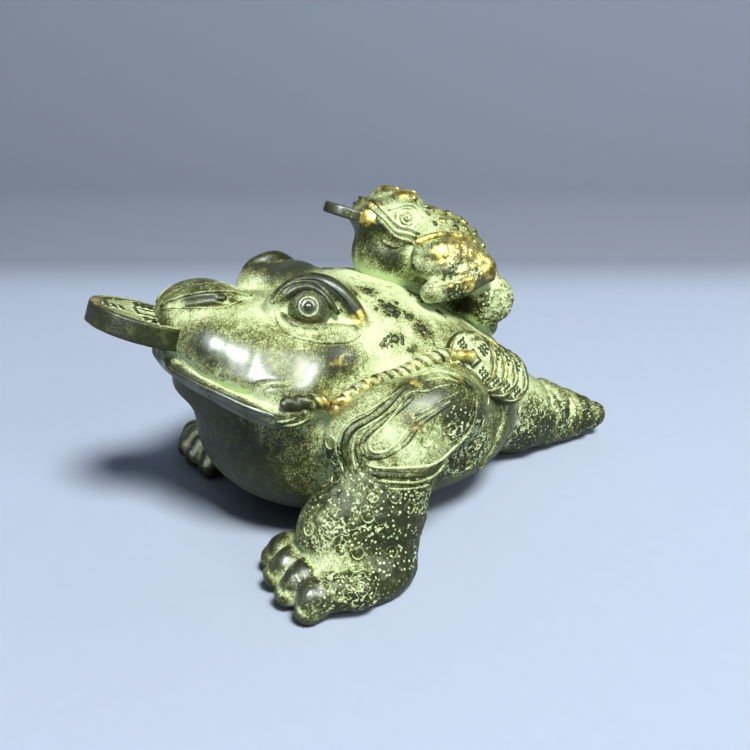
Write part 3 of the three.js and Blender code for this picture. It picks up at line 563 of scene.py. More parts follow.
# Fine pale lines: a path and half a width.
fine_lines = [
    # shoulder
    ([(47.2, -16.4, 40.9), (48.5, -19, 38.8), (49.2, -22, 36.6), (49.2, -25.2, 34),
      (49.9, -25.2, 31.9), (51, -22.4, 31.8), (51, -18.7, 34.3), (50.2, -16.3, 36.4),
      (49.5, -11.2, 38), (48.2, -5.3, 39.4)], 0.32),
    ([(45.5, -15.8, 43), (46, -19.4, 41.2), (46.1, -24, 39.2), (45.2, -28.2, 37.3),
      (44.9, -30.4, 34.4), (45.2, -31, 30.4), (47.2, -30.3, 26.4)], 0.26),
    ([(48, -20.6, 38.6), (48, -24.8, 37), (47.3, -27.2, 35.4), (47.6, -28.3, 33),
      (47.9, -28.6, 30.2), (49, -28.2, 27)], 0.26),
    ([(49.3, -26.9, 29.2), (51.3, -23.8, 28.4), (52.5, -18.2, 27.9), (51.6, -12.4, 27),
      (50.3, -7, 27.3), (49.2, -3.4, 28.9), (48.5, -1.1, 31.8), (48.2, 0.4, 35.2),
      (46.9, 1.2, 38.3)], 0.34),
    ([(51.1, -25.2, 25.7), (52.6, -20.3, 25), (52.3, -15.9, 24), (50.6, -10, 23.8),
      (49.4, -6, 24.6)], 0.32),
    ([(52.5, -23.5, 24.2), (52.7, -17.8, 23), (50.6, -12, 22)], 0.26),
    ([(40.2, -8.5, 44.3), (41, -3.6, 43.8), (43.4, -0.4, 42.3), (45.6, 1.3, 40.2)], 0.3),
    # top of the shoulder
    ([(43, -11.2, 43.6), (41.4, -7.9, 43.8), (40.2, -3.9, 43.3), (41.2, -0.8, 42.4),
      (44.4, 0.1, 41.2)], 0.3),
    ([(43.9, -11.4, 43.3), (44.9, -9.6, 43), (44.2, -6.8, 43.1), (44.4, -4, 42.5),
      (45.8, -1.9, 41.1)], 0.26),
    ([(47.2, -17, 40.9), (46.4, -14.4, 41.8), (46.9, -11.2, 41.6), (46.3, -7.6, 41.9),
      (45.9, -4.4, 41.6)], 0.28),
    ([(49.5, -15.2, 37.8), (49.4, -12, 38.7), (48.4, -8.8, 39.6), (47.8, -5.2, 40.1),
      (46.4, -2.7, 40.6)], 0.26),
    # nostril
    ([(3.6, -56.7, 55.1), (7.5, -51.7, 58.0), (8.2, -47.5, 58.5), (7.8, -43, 58.5),
      (5.6, -38.4, 57.2), (2.6, -34.4, 55.5)], 0.3),
    ([(4.6, -56.9, 54.7), (7.3, -54.9, 56), (10.5, -50.6, 56), (12, -46.6, 55.6),
      (11.9, -43.3, 55.5), (9.2, -39.2, 55.7), (5.6, -36.2, 55.6)], 0.26),
    # lids
    ([(18.1, -33.8, 55.4), (22.3, -34.3, 52.6), (25.6, -33.2, 51.3), (27.7, -31, 50.2),
      (28.7, -27.5, 49.4), (28.8, -23.6, 49), (28.3, -20.1, 49), (27.2, -17.1, 49.8)], 0.4),
    ([(18.6, -34.6, 56.6), (19.4, -32.7, 59.9), (20.2, -29.4, 61.5), (21.4, -26, 61.4),
      (22.4, -23.6, 59.6), (22.9, -21.6, 56.9), (23.4, -19.6, 54)], 0.28),
    ([(18.4, -34, 57.6), (19.6, -31.2, 61.1), (20.6, -28, 62.3), (21.6, -25, 62),
      (22.6, -21.6, 60), (23.6, -18.6, 56.6), (24.8, -16.4, 52.6)], 0.24),
    # mouth corner
    ([(35.6, -41, 35.7), (36.8, -37.9, 36.2), (37.1, -36, 37)], 0.35),
    ([(36.1, -39.6, 34.9), (37, -36.5, 35.1), (37.5, -33.6, 36.3)], 0.35),
    # flank
    ([(35.6, 17.8, 30.8), (33.6, 18.4, 27), (33.4, 17.3, 24.2), (34, 14.5, 21)], 0.3),
    # lips of the small toad
    ([(1.5, -3.3, 75.9), (5.5, -2.4, 75), (9.1, -1.2, 72.8), (10.6, 0.8, 70.8), (11, 3.4, 70.1),
      (11, 6.3, 68.5)], 0.42),
    ([(2.5, -4.6, 75), (6, -3.8, 74), (8.7, -2.1, 71.9), (10.2, -0.1, 69.5), (10.9, 2.9, 68.8),
      (11, 5.7, 67.3)], 0.42),
    ([(6.9, -4, 72.9), (9.1, -2.3, 70.6), (9.8, 0.1, 68.1), (10.5, 2.6, 67.1),
      (11.1, 4.6, 65.9)], 0.45),
    # brow of the small toad
    ([(7.4, -0.9, 74), (8.4, 1.2, 75.2), (8.9, 4, 75.6), (9.4, 6.8, 74.6), (10, 8.2, 72.4)], 0.3),
    # chin of the small toad
    ([(7.4, -2.9, 67.3), (8.7, -1, 65.9), (10, 0.9, 65.3)], 0.7),
]

# Stamped rings: a point.
ring_points = [
    (44.1, -32.2, 32.7), (44.7, -31.3, 28.9), (41.5, -33.5, 29.4), (45.9, -31.4, 25.4),
    (52.6, -26.2, 23.1), (53.9, -27.9, 19.5), (53.4, -21.6, 22.2), (53.5, -18.3, 19), (50, -6.7, 33.4),
    (51.3, -13.2, 32.6), (45.7, 4, 32), (36.7, 8.5, 21.7), (35.9, 6.8, 16.4), (48.8, -11.8, 19.7),
    (59.8, -34.2, 8.6), (60.6, -29.6, 4.6), (56, -23, 11), (18.3, 33.6, 20.4), (15.7, 37, 13.5),
    (14, 44.9, 15.6), (11.1, 53, 12.5), (21, 28, 13), (34.5, 14, 12), (28, 25, 9.5), (44, -13, 8),
    (50, -10, 6), (13.2, -9.2, 57), (10.5, -3, 56.2), (6.5, -9, 58.6), (30.6, 2, 47.5), (16, 33, 27),
    (8, 52, 18.5), (4, 40, 25), (22, 34, 8), (41, 6, 27), (40, 10, 34), (52, -30, 12), (47, -36, 15),
]

# Warts of the back: a point and a radius.
warts = [
    (14.6, -9.9, 56.7, 1.9), (21.8, -7.1, 53.6, 2.7), (23.9, -3, 51.8, 1.3), (13, 5, 53.4, 2.4),
    (26.6, -1, 49.6, 2), (28.6, -9.3, 48.2, 1.9), (30.6, -6, 46, 1), (29.1, -12.3, 47.2, 0.9),
    (17, 9.6, 50.3, 1.4), (18.4, -14.6, 57.4, 1),
]

# The points that the cords run over.
rope_line = [
    (33, -38.5, 39.8), (35.5, -35, 39.3), (37, -31, 39.3), (37.5, -26, 40), (37.5, -20.4, 41.4),
    (36.5, -14.2, 43.2), (35.5, -7.9, 44.4), (34.5, -1.3, 45), (34, 4.3, 44.5),
]
small_rope_line = [
    (12.8, 3.8, 66.8), (13.4, 7.4, 69), (13, 11.2, 69.5), (12, 16, 68.6), (10.8, 21.3, 66),
]

# Toes of the tail leg.
large_forms += [
    ellipsoid((2, 57.2, 12.8), (7.6, 3.6, 6.2), 0.8),
    ellipsoid((2.4, 66, 9.4), (6.4, 3.6, 5), 0.8),
    ellipsoid((3, 72.8, 7.2), (3.8, 3.2, 3.7), 0.8),
]

# A groove is a limb cut out of the forms, with its middle a quarter of its radius above the
# flesh. Each foot gets its own creases, because the two differ in place.
for line, radius in grooves:
    on_foot = line[0][1] < -30 and line[0][2] < 12
    for side in (1, -1) if on_foot else (0,):
        seats, _ = settle(drawn_at(path(line), side or 1), 0.25 * radius, large)
        if side:
            seats[:, 0] = np.abs(seats[:, 0])
        else:
            far = farness(seats)
            seats[:, 1] += HEAD_TURN * far
            seats[:, 2] -= tilt_share(seats[:, 2]) * far
        width = radius * (0.45 + 0.55 * np.sin(np.linspace(0, math.pi, len(seats))) ** 0.5)
        large_forms.append(limb(np.column_stack([seats, width]), 0.8, side=side, cut=True))

# Finer flesh: the inner and the lower lid, the bead of the nostril, the bulges of the cheek, the
# edge of the lower lip, and the knuckles of each foot.
large_forms += [
    curved_limb([
        (18.4, -32.6, 55.6, 0.7), (19.8, -31.6, 58.4, 0.85), (20.4, -29.4, 60, 0.9),
        (21.2, -26.6, 60.2, 0.9), (22.2, -24.4, 58.8, 0.9), (23.2, -22.6, 56.4, 0.8),
        (23.6, -21, 54.2, 0.6),
    ], 0.5),
    curved_limb([
        (19.8, -32.8, 54.6, 0.6), (23, -31.6, 53, 0.9), (25, -29, 52, 1), (25.6, -25.6, 51.9, 1),
        (25.2, -22, 51.6, 0.9), (25.8, -18.6, 51, 0.6),
    ], 0.6),
    ellipsoid((8.8, -43.4, 56.9), (1.1, 1.3, 0.8), 0.4),
    # bulges of the cheek
    ellipsoid((25.6, -30.5, 42.6), (7.6, 7, 6.4), 3),
    ellipsoid((15.5, -46, 47.4), (7, 5.8, 5.2), 3),
    curved_limb([
        (7, -57, 43.4, 0.6), (10, -56.6, 43.3, 1), (14.2, -55, 42.4, 1.1), (18.8, -52.9, 41.7, 1.1),
        (23.3, -50.3, 40.7, 1.1), (27.2, -47.7, 39.8, 1.1), (30.7, -45.2, 38.7, 1.1),
        (33.6, -42.4, 37.8, 1), (35.6, -38.8, 37.1, 0.9), (36.6, -35, 37.5, 0.6),
    ], 1),
]
for side, inward in ((1, 0), (-1, FAR_LEG_INWARD)):
    for x, y, z in ((56, -41.4, 5.4), (50.5, -42, 5.9), (43.6, -42, 6), (36.4, -41, 5.4)):
        large_forms.append(ellipsoid((x - inward, y, z), (3.75, 3.6, 3.9), 0.8, side=side))

# Finer flesh of the small toad.
small_forms += [
    # nostril humps and brows
    ellipsoid((3.2, -2, 74), (2.8, 2.8, 2.3), 0.6),
    ellipsoid((5.2, 4.8, 75.6), (3.4, 3.6, 3.1), 0.7),
    # folds of the arm
    curved_limb([
        (15.4, 6.6, 61.2, 1.2), (15.8, 9, 63.2, 1.5), (15.6, 13.7, 63.8, 1.7), (15, 19, 62.8, 1.7),
        (16, 22, 60.2, 1.5), (16, 24, 57, 1.2),
    ], 0.5),
    curved_limb([
        (16, 8, 58.8, 0.9), (17, 11, 60, 1.1), (17.2, 15, 60.2, 1.2), (17.4, 19.5, 58.8, 1),
    ], 0.4),
    curved_limb([
        (20.3, 5.6, 57.8, 0.4), (19.8, 10.7, 58.8, 0.9), (19.7, 15.1, 59.5, 1),
        (18.9, 18.4, 60.1, 0.9), (17.8, 21.5, 61.3, 0.4),
    ], 0.6, cut=True),
]


# Rough, pitted skin, as x, y, z, radius and amount.
pit_spots = [
    (47, -24, 14, 16, 1), (52, -33, 7, 12, 1), (50, -4, 34, 5.5, 0.9), (46, 3, 29, 7, 0.9),
    (40, 6, 20, 10, 0.8), (14, 40, 13, 11, 0.9), (10, 55, 10, 9, 0.9), (6, 68, 7, 8, 0.9),
    (45, -31.5, 28, 4.5, 0.8), (17.7, 15, 62, 7, 0.8), (18, 12, 56, 6, 0.8), (13, 28, 48, 7, 1),
    (25, 28, 14, 10, 0.7), (47, -15, 8, 10, 0.8),
]


def spotted(points, spots, add=False):
    """The amounts of soft spots at points, on both sides: the highest of them, or their sum."""
    value = np.zeros(len(points))
    for *centre, radius, amount in spots:
        for side in (1, -1) if centre[0] > 0 else (1,):
            far = ((points - drawn_at([centre], side)[0]) ** 2).sum(1)
            near = far < 9 * radius**2
            part = amount * np.exp(-far[near] / radius**2)
            value[near] = value[near] + part if add else np.maximum(value[near], part)
    return value


lattice = rng.random((40, 40, 40))


def lumps(points, size, shift=0.0):
    """Smooth random values from 0 to 1 whose features are about size across."""
    q = points / size + shift
    i = np.floor(q).astype(int)
    f = q - i
    f = f * f * (3 - 2 * f)
    total = np.zeros(len(points))
    for corner in range(8):
        step = np.array([corner & 1, corner >> 1 & 1, corner >> 2 & 1])
        weight = np.where(step, f, 1 - f).prod(1)
        j = (i + step) % 40
        total += weight * lattice[j[:, 0], j[:, 1], j[:, 2]]
    return total


def rise(value, low, high):
    """A smooth step from 0 at low to 1 at high."""
    t = np.clip((value - low) / (high - low), 0, 1)
    return t * t * (3 - 2 * t)


def roughened(obj, height):
    """Small lumps and hollows over the pitted skin, and a slight unevenness everywhere."""
    points, normals = points_of(obj), normals_of(obj)
    rough = rise(spotted(points, pit_spots), 0.2, 0.6)
    beads = rise(lumps(points, 0.95), 0.35, 0.75) - 0.5
    folds = rise(np.abs(lumps(points, 2.6, 3.3) - 0.5), 0.0, 0.16) - 0.7
    lift = height * rough * (0.55 * beads + 0.45 * folds) + 0.1 * (lumps(points, 3.1, 7.7) - 0.5)
    keep = rise(points[:, 2], 0.1, 2.5)
    move_points(obj, points + normals * (lift * keep)[:, None])


def large_skin(points):
    """The large toad's flesh, cut flat at the floor."""
    return np.maximum(large(points), -points[:, 2])


def small_skin(points):
    """The small toad's flesh, cut off a little way inside the large toad's back."""
    return np.maximum(small(points), -(large(points) + 1.5))


coarse = 1
flesh_mesh = mesh_of(large_skin, (-60, -66, -1.5), (66, 80, 66), LARGE_CELL * coarse)
large_toad = thinned(made("large_toad", *flesh_mesh), LARGE_TRIANGLES)
roughened(large_toad, 0.42)
flesh_mesh = mesh_of(small_skin, (-24, -9, 32), (24, 40, 82), SMALL_CELL * coarse)
small_toad = thinned(made("small_toad", *flesh_mesh), SMALL_TRIANGLES)
roughened(small_toad, 0.5)


# Raised lines, rings and ropes.


def stripe(line, side, half_width, height, lift=0.0, spacing=0.6):
    """A low bar laid on the flesh along a line, with a rounded section and pointed ends."""
    seats, _ = settle(drawn_at(line, side))
    points, ups = settle(evenly(seats, spacing), lift)
    last = len(points) - 1

    def section(i, angles):
        taper = min(1, (min(i, last - i) * spacing + 0.15) / (3 * half_width)) ** 0.7
        flat = np.hypot(np.cos(angles) / half_width, np.sin(angles) / height)
        return taper / flat

    return bar(points, ups, section, sides=12)


def ring(point, side, radius=1.35, half_width=0.28):
    """A thin ring laid on the flesh round a point."""
    seats, normals = settle(drawn_at([point], side))
    across = unit(np.cross(normals[0], (0.3, 0.2, 0.9)))
    angles = np.linspace(0, 2 * math.pi, 21)
    circle = seats[0] + radius * (
        np.cos(angles)[:, None] * across + np.sin(angles)[:, None] * np.cross(normals[0], across)
    )
    points, ups = settle(circle, 0.02)
    return bar(points, ups, lambda i, turn: np.full(len(turn), half_width), sides=8)


def unit(v):
    """The vector at length 1."""
    v = np.array(v, float)
    return v / np.linalg.norm(v)


def strand(i, angles, side):
    """How high the strands of a cord stand at ring i: 0 between two of them, 1 on top of one."""
    turn = -2 * math.pi * i * CORD_STEP / CORD_TURN * side
    return np.abs(np.sin(angles - turn))


def rope(line, side, diameter, lift, groove):
    """A cord of two strands, laid along a line; the groove between them is a share of it."""
    seats, _ = settle(drawn_at(line, side))
    points, ups = settle(evenly(seats, diameter * CORD_STEP), diameter * lift)
    last = len(points) - 1

    def section(i, angles):
        taper = min(1, (min(i, last - i) + 1) / 5) ** 0.5
        return diameter / 2 * taper * (1.07 - groove + groove * strand(i, angles, side))

    return bar(points, ups, section, CORD_SIDES)


def rope_end(side):
    """The end of the cord, bent over the rim of the first coin into its middle."""
    flip = np.array([side, 1, 1])
    outward = unit(FLANK_FACING) * flip
    middle = np.array(FLANK_MIDDLE) * flip + outward * FLANK_COIN_THICKNESS / 2
    start = settle(drawn_at(rope_line[-1:], side), ROPE_DIAMETER * ROPE_LIFT)[0][0]
    lane = evenly([start, (start + middle) / 2 + outward * 1.1, middle + outward * 0.3], 0.4)
    last = len(lane) - 1

    def section(i, angles):
        return np.full(len(angles), ROPE_DIAMETER * 0.44 * min(1, (last - i + 0.5) / 3) ** 0.5)

    return bar(lane, np.tile(outward, (len(lane), 1)), section, sides=24)


bands_of_shoulder = made_of(
    "shoulder_bands", [stripe(line, side, w, h, -0.1) for side in (1, -1) for line, w, h in bands]
)
carved_lines = made_of(
    "carved_lines", [stripe(line, side, w, w, 0.1, 0.4) for side in (1, -1) for line, w in fine_lines]
)
stamped_rings = made_of(
    "stamped_rings", [ring(point, side) for side in (1, -1) for point in ring_points]
)
eye_rings = made_of(
    "eye_rings", [ring(SMALL_EYE_FRONT, side, r, 0.3) for side in (1, -1) for r in (1.7, 2.9)]
)

# The cords, and how high the strands stand at each of their points, 1 over their bent ends.
cords = []
strands = []
small_cords = []
ring_angles = np.arange(CORD_SIDES) * 2 * math.pi / CORD_SIDES
for side in (1, -1):
    cord = rope(rope_line, side, ROPE_DIAMETER, ROPE_LIFT, 0.27)
    end = rope_end(side)
    cords += [cord, end]
    strands += [strand(i, ring_angles, side) for i in range(len(cord[0]) // CORD_SIDES)]
    strands.append(np.ones(len(end[0])))
    small_cords.append(rope(small_rope_line, side, SMALL_ROPE_DIAMETER, SMALL_ROPE_LIFT, 0.12))
ropes = made_of("ropes", cords)
small_ropes = made_of("small_ropes", small_cords)


# Coins.


def capsule(p, start, end, radius):
    """The distance of points p to a round bar from start to end."""
    a, b = np.array(start, float), np.array(end, float)
    t = np.clip((p - a) @ (b - a) / max((b - a) @ (b - a), 1e-9), 0, 1)
    return np.linalg.norm(p - a - t[:, None] * (b - a), axis=1) - radius


def coin_strokes(diameter):
    """The straight strokes of a coin's face: a square, and rows of dashes beyond its sides."""
    s, d, w = diameter * 0.105, diameter * 0.285, diameter * 0.155
    strokes = [((-s, s), (s, s)), ((s, s), (s, -s)), ((s, -s), (-s, -s)), ((-s, -s), (-s, s))]
    for turn in range(4):
        cos, sin = math.cos(turn * math.pi / 2), math.sin(turn * math.pi / 2)
        for row in (0.45, 0.05, -0.35):
            for x in (-0.4, 0.1) if (row > 0.4) == (turn % 2 > 0) else (-0.45, -0.05, 0.35):
                dash = [(x * w, d + row * w), ((x + 0.22) * w, d + (row + 0.12) * w)]
                strokes.append(tuple((p * cos - q * sin, p * sin + q * cos) for p, q in dash))
    return strokes


def coin_distance(diameter, thickness, both, rim_share=COIN_RIM):
    """A coin about its own middle, faces along Z: a rim, a square frame and strokes."""
    r, h = diameter / 2, thickness / 2
    rim, sunk, edge = diameter * rim_share, min(0.45, thickness * 0.17), min(0.6, thickness * 0.2)

    def at(p):
        wave = 0.12 * np.sin(p[:, 0] * 0.9 + 1) * np.sin(p[:, 1] * 0.8)
        out = np.hypot(p[:, 0], p[:, 1]) + wave
        a, b = out - (r - edge), np.abs(p[:, 2]) - (h - edge)
        body = np.hypot(np.maximum(a, 0), np.maximum(b, 0)) + np.minimum(np.maximum(a, b), 0) - edge
        for sign in (1, -1) if both else (1,):
            z = sign * p[:, 2]
            pan = np.maximum(out - (r - rim), (h - sunk) - z)
            body = -smooth(-body, pan, 0.35)
            for start, end in coin_strokes(diameter):
                q = np.stack([p[:, 0], p[:, 1], z], 1)
                mark = capsule(q, (*start, h - sunk), (*end, h - sunk), diameter * COIN_STROKE)
                body = smooth(body, mark, 0.25)
        return body

    return at


def coin_marks(pattern, diameter, rim_share=COIN_RIM):
    """1 at the points of a coin that lie on a stroke, less on its rim's two edges."""
    p = pattern[0] * [1, 1, 0]
    marks = np.zeros(len(p))
    for start, end in coin_strokes(diameter):
        marks = np.maximum(marks, 1 - rise(capsule(p, (*start, 0), (*end, 0), 0), 0.2, 0.45))
    out = np.hypot(p[:, 0], p[:, 1])
    for edge in (diameter / 2, diameter / 2 - 0.2 - diameter * rim_share):
        marks = np.maximum(marks, 0.8 * np.exp(-(((out - edge) / 0.22) ** 2)))
    return marks


def coin_mesh(diameter, thickness, cell, triangles, both, rim_share=COIN_RIM):
    """Vertices and faces of a coin about its own middle."""
    r, h = diameter / 2 + 1, thickness / 2 + 1
    shape = coin_distance(diameter, thickness, both, rim_share)
    obj = thinned(made("coin_pattern", *mesh_of(shape, [-r, -r, -h], [r, r, h], cell)), triangles)
    vertices = points_of(obj)
    faces = [list(p.vertices) for p in obj.data.polygons]
    bpy.data.objects.remove(obj)
    return vertices, faces


def placed(pattern, origin, facing, upward):
    """The pattern moved to origin, with its Z along facing and its Y toward upward."""
    z = unit(facing)
    x = unit(np.cross(upward, z))
    y = np.cross(z, x)
    vertices, faces = pattern
    return vertices @ np.stack([x, y, z]) + np.array(origin), faces


tilt = math.radians(COIN_TILT)
mouth_facing = np.array([0, math.sin(tilt), math.cos(tilt)])
forward = np.array([0, -math.cos(tilt), math.sin(tilt)])
mouth_centre = np.array(MOUTH_COIN_FRONT) - forward * MOUTH_COIN_DIAMETER / 2
small_centre = np.array(SMALL_COIN_FRONT) - forward * SMALL_COIN_DIAMETER / 2
cell = COIN_CELL * coarse
mouth_pattern = coin_mesh(MOUTH_COIN_DIAMETER, MOUTH_COIN_THICKNESS, cell, 40000, True)
small_pattern = coin_mesh(SMALL_COIN_DIAMETER, SMALL_COIN_THICKNESS, cell, 12000, True)
flank_pattern = coin_mesh(
    FLANK_COIN_DIAMETER, FLANK_COIN_THICKNESS, cell, 9000, False, FLANK_COIN_RIM
)
stack_pattern = coin_mesh(FLANK_COIN_DIAMETER, FLANK_COIN_THICKNESS, COIN_CELL * 2, 2400, False)
marks = {
    "mouth_coin": coin_marks(mouth_pattern, MOUTH_COIN_DIAMETER),
    "flank_coins": np.tile(coin_marks(flank_pattern, FLANK_COIN_DIAMETER, FLANK_COIN_RIM), 8),
}
mouth_coin = made_of("mouth_coin", [placed(mouth_pattern, mouth_centre, mouth_facing, forward)])
small_coin = made_of("small_coin", [placed(small_pattern, small_centre, mouth_facing, forward)])

# Four coins fanned out on each flank, and three small ones at the end of each small cord.
fan = []
stack = []
stack_size = SMALL_ROPE_DIAMETER * 3.8 / FLANK_COIN_DIAMETER
stack_coin = (stack_pattern[0] * [stack_size, stack_size, 0.5], stack_pattern[1])
for side in (1, -1):
    flip = np.array([side, 1, 1])
    facing = np.array(FLANK_FACING) * flip
    for k in range(4):
        centre = (np.array(FLANK_MIDDLE) + np.array(FLANK_STEP) * k) * flip
        centre -= 0.4 * k * unit(facing)
        fan.append(placed(flank_pattern, centre, facing, np.array(FLANK_UP) * flip))
    for k in range(3):
        seat = drawn_at(np.array(STACK_MIDDLE) + np.array(STACK_STEP) * k, side)
        seat, _ = settle(seat, -SMALL_ROPE_DIAMETER * 0.6)
        stack.append(placed(stack_coin, seat[0], np.array(STACK_FACING) * flip, (0, 0, 1)))
flank_coins = made_of("flank_coins", fan)
small_coins = made_of("small_coins", stack)


def lathe(profile, segments):
    """A closed solid turned about Z from rows of radius and height."""
    turn = np.arange(segments) * 2 * math.pi / segments
    rings = [
        np.stack([r * np.cos(turn), r * np.sin(turn), np.full(segments, h)], 1) for r, h in profile
    ]
    k = np.arange(segments)
    after = (k + 1) % segments
    faces = [
        list(face) for start in range(0, (len(profile) - 1) * segments, segments) for face in
        np.stack([start + k, start + after, start + segments + after, start + segments + k], 1)
    ]
    faces += [list(k[::-1]), list((len(profile) - 1) * segments + k)]
    return np.concatenate(rings), faces


def eye_pattern(diameter):
    """An eyeball with a raised ring and a bead."""
    r = diameter / 2
    rows = []
    for angle in np.linspace(math.pi - 0.05, 0.02, 64):
        out = math.sin(angle) * r
        ridge = 0.06 * r * math.exp(-(((out / r - 0.4) / 0.05) ** 2))
        bead = 0.13 * r * math.sqrt(max(0, 1 - (out / r / 0.17) ** 2))
        reach = r + (ridge + bead if math.cos(angle) > 0 else 0)
        rows.append((reach * math.sin(angle), reach * math.cos(angle)))
    return lathe(rows, segments=48)


eyes = []
pupils = []
for side in (1, -1):
    flip = np.array([side, 1, 1])
    centre = drawn_at([EYE_MIDDLE], side)[0]
    gaze = unit(EYE_GAZE * flip)
    eyes.append(placed(eye_pattern(EYE_DIAMETER), centre, gaze, (0, 0, 1)))
    pupils.append((centre + gaze * EYE_DIAMETER / 2, EYE_DIAMETER * 0.2))
    centre = SMALL_EYE_MIDDLE * flip
    gaze = SMALL_EYE_GAZE * flip
    eyes.append(placed(eye_pattern(SMALL_EYE_DIAMETER), centre, gaze, (0, 0, 1)))
eyeballs = made_of("eyes", eyes)

# Bumps of the small toad's back, brow and eye: a point and a radius.
small_bumps = [
    (3.8, 13.1, 73.3, 1.3), (4.7, 16.6, 72.4, 1.1), (1, 15, 73.4, 1.2), (6.7, 18.9, 70.6, 1.2),
    (2.6, 19, 71.6, 1.1), (7.8, 21.2, 68.6, 1.1), (4.6, 22.6, 69.2, 1.2), (7, 25, 66.6, 1.1),
    (7.8, 14.4, 70.9, 1.1), (8.8, 17.6, 68.8, 1), (6.8, 10.4, 72.6, 1), (1.2, 23.4, 69.6, 1.2),
    (3.4, 26.4, 66.6, 1.1), (9, 11.6, 70.4, 0.8), (6.4, 28.4, 63.4, 1), (1, 29.4, 63, 1.2),
    (9.4, 23.6, 65, 0.8), (2, 11, 73.8, 0.9), (4.4, 7.4, 77, 0.9), (7.4, 6, 76.4, 0.7),
    (*SMALL_EYE_FRONT, 0.95),
]


def wart(x, y, z, r, side):
    """A low dome."""
    seats, normals = settle(drawn_at([(x, y, z)], side))
    angles = np.linspace(0, math.pi / 2, 7)[::-1]
    rows = [(r * 1.02, -0.4 * r)]
    rows += [(max(r * math.sin(a), 0.02), 0.5 * r * math.cos(a)) for a in angles]
    return placed(lathe(rows, segments=20), seats[0], normals[0], (0.3, 0.2, 0.9))


def cluster(x, y, z, r, side):
    """A wart with smaller ones round it."""
    parts = [wart(x, y, z, r * 0.55, side)]
    for k in range(11):
        turn, reach = 0.571 * k + x, r * (1.05 + 0.35 * math.sin(9 * k + y))
        size = r * (0.23 + 0.08 * math.sin(5 * k + z))
        east, north = reach * math.cos(turn), reach * math.sin(turn)
        parts.append(wart(x + 0.75 * east, y + north, z - 0.3 * east, size, side))
    return parts


back_warts = made_of(
    "back_warts", [part for side in (1, -1) for row in warts for part in cluster(*row, side)]
)
back_bumps = made_of("small_bumps", [wart(*row, side) for side in (1, -1) for row in small_bumps])

flesh = (large_toad, small_toad)
pieces = [
    *flesh, bands_of_shoulder, carved_lines, stamped_rings, ropes, small_ropes, mouth_coin,
    small_coin, flank_coins, small_coins, eyeballs, eye_rings, back_warts, back_bumps,
]


def openness(points, normals):
    """0 deep in a recess, 1 on flat ground, more on a high spot."""
    total = np.zeros(len(points))
    for reach, share in ((0.7, 0.3), (1.8, 0.35), (4.5, 0.35)):
        total += share * np.clip(in_groups(figure, points + normals * reach) / reach, 0, 1.3)
    return total


def crest(obj, points, normals):
    """How far each vertex stands out over its neighbours, about -1 to 1."""
    count = len(obj.data.edges)
    ends = np.empty(count * 2, np.int32)
    obj.data.edges.foreach_get("vertices", ends)
    a, b = ends.reshape(-1, 2).T
    total = np.zeros((len(points), 3))
    shares = np.zeros(len(points))
    for start, end in ((a, b), (b, a)):
        for axis in range(3):
            total[:, axis] += np.bincount(start, points[end, axis], len(points))
        shares += np.bincount(start, minlength=len(points))
    lead = points - total / np.maximum(shares, 1)[:, None]
    length = np.linalg.norm(points[a] - points[b], axis=1)
    reach = np.bincount(a, length, len(points)) + np.bincount(b, length, len(points))
    reach /= np.maximum(shares, 1)
    value = (lead * normals).sum(1) / np.maximum(reach, 1e-6) / np.maximum(reach, 0.15)
    for _ in range(2):
        mean = np.bincount(a, value[b], len(points)) + np.bincount(b, value[a], len(points))
        value = 0.5 * value + 0.5 * mean / np.maximum(shares, 1)
    return np.clip(value, -1, 1)


def set_value(obj, name, values):
    """Stores a number for each vertex, for the material to read."""
    attribute = obj.data.attributes.new(name, "FLOAT", "POINT")
    attribute.data.foreach_set("value", np.asarray(values, np.float32))


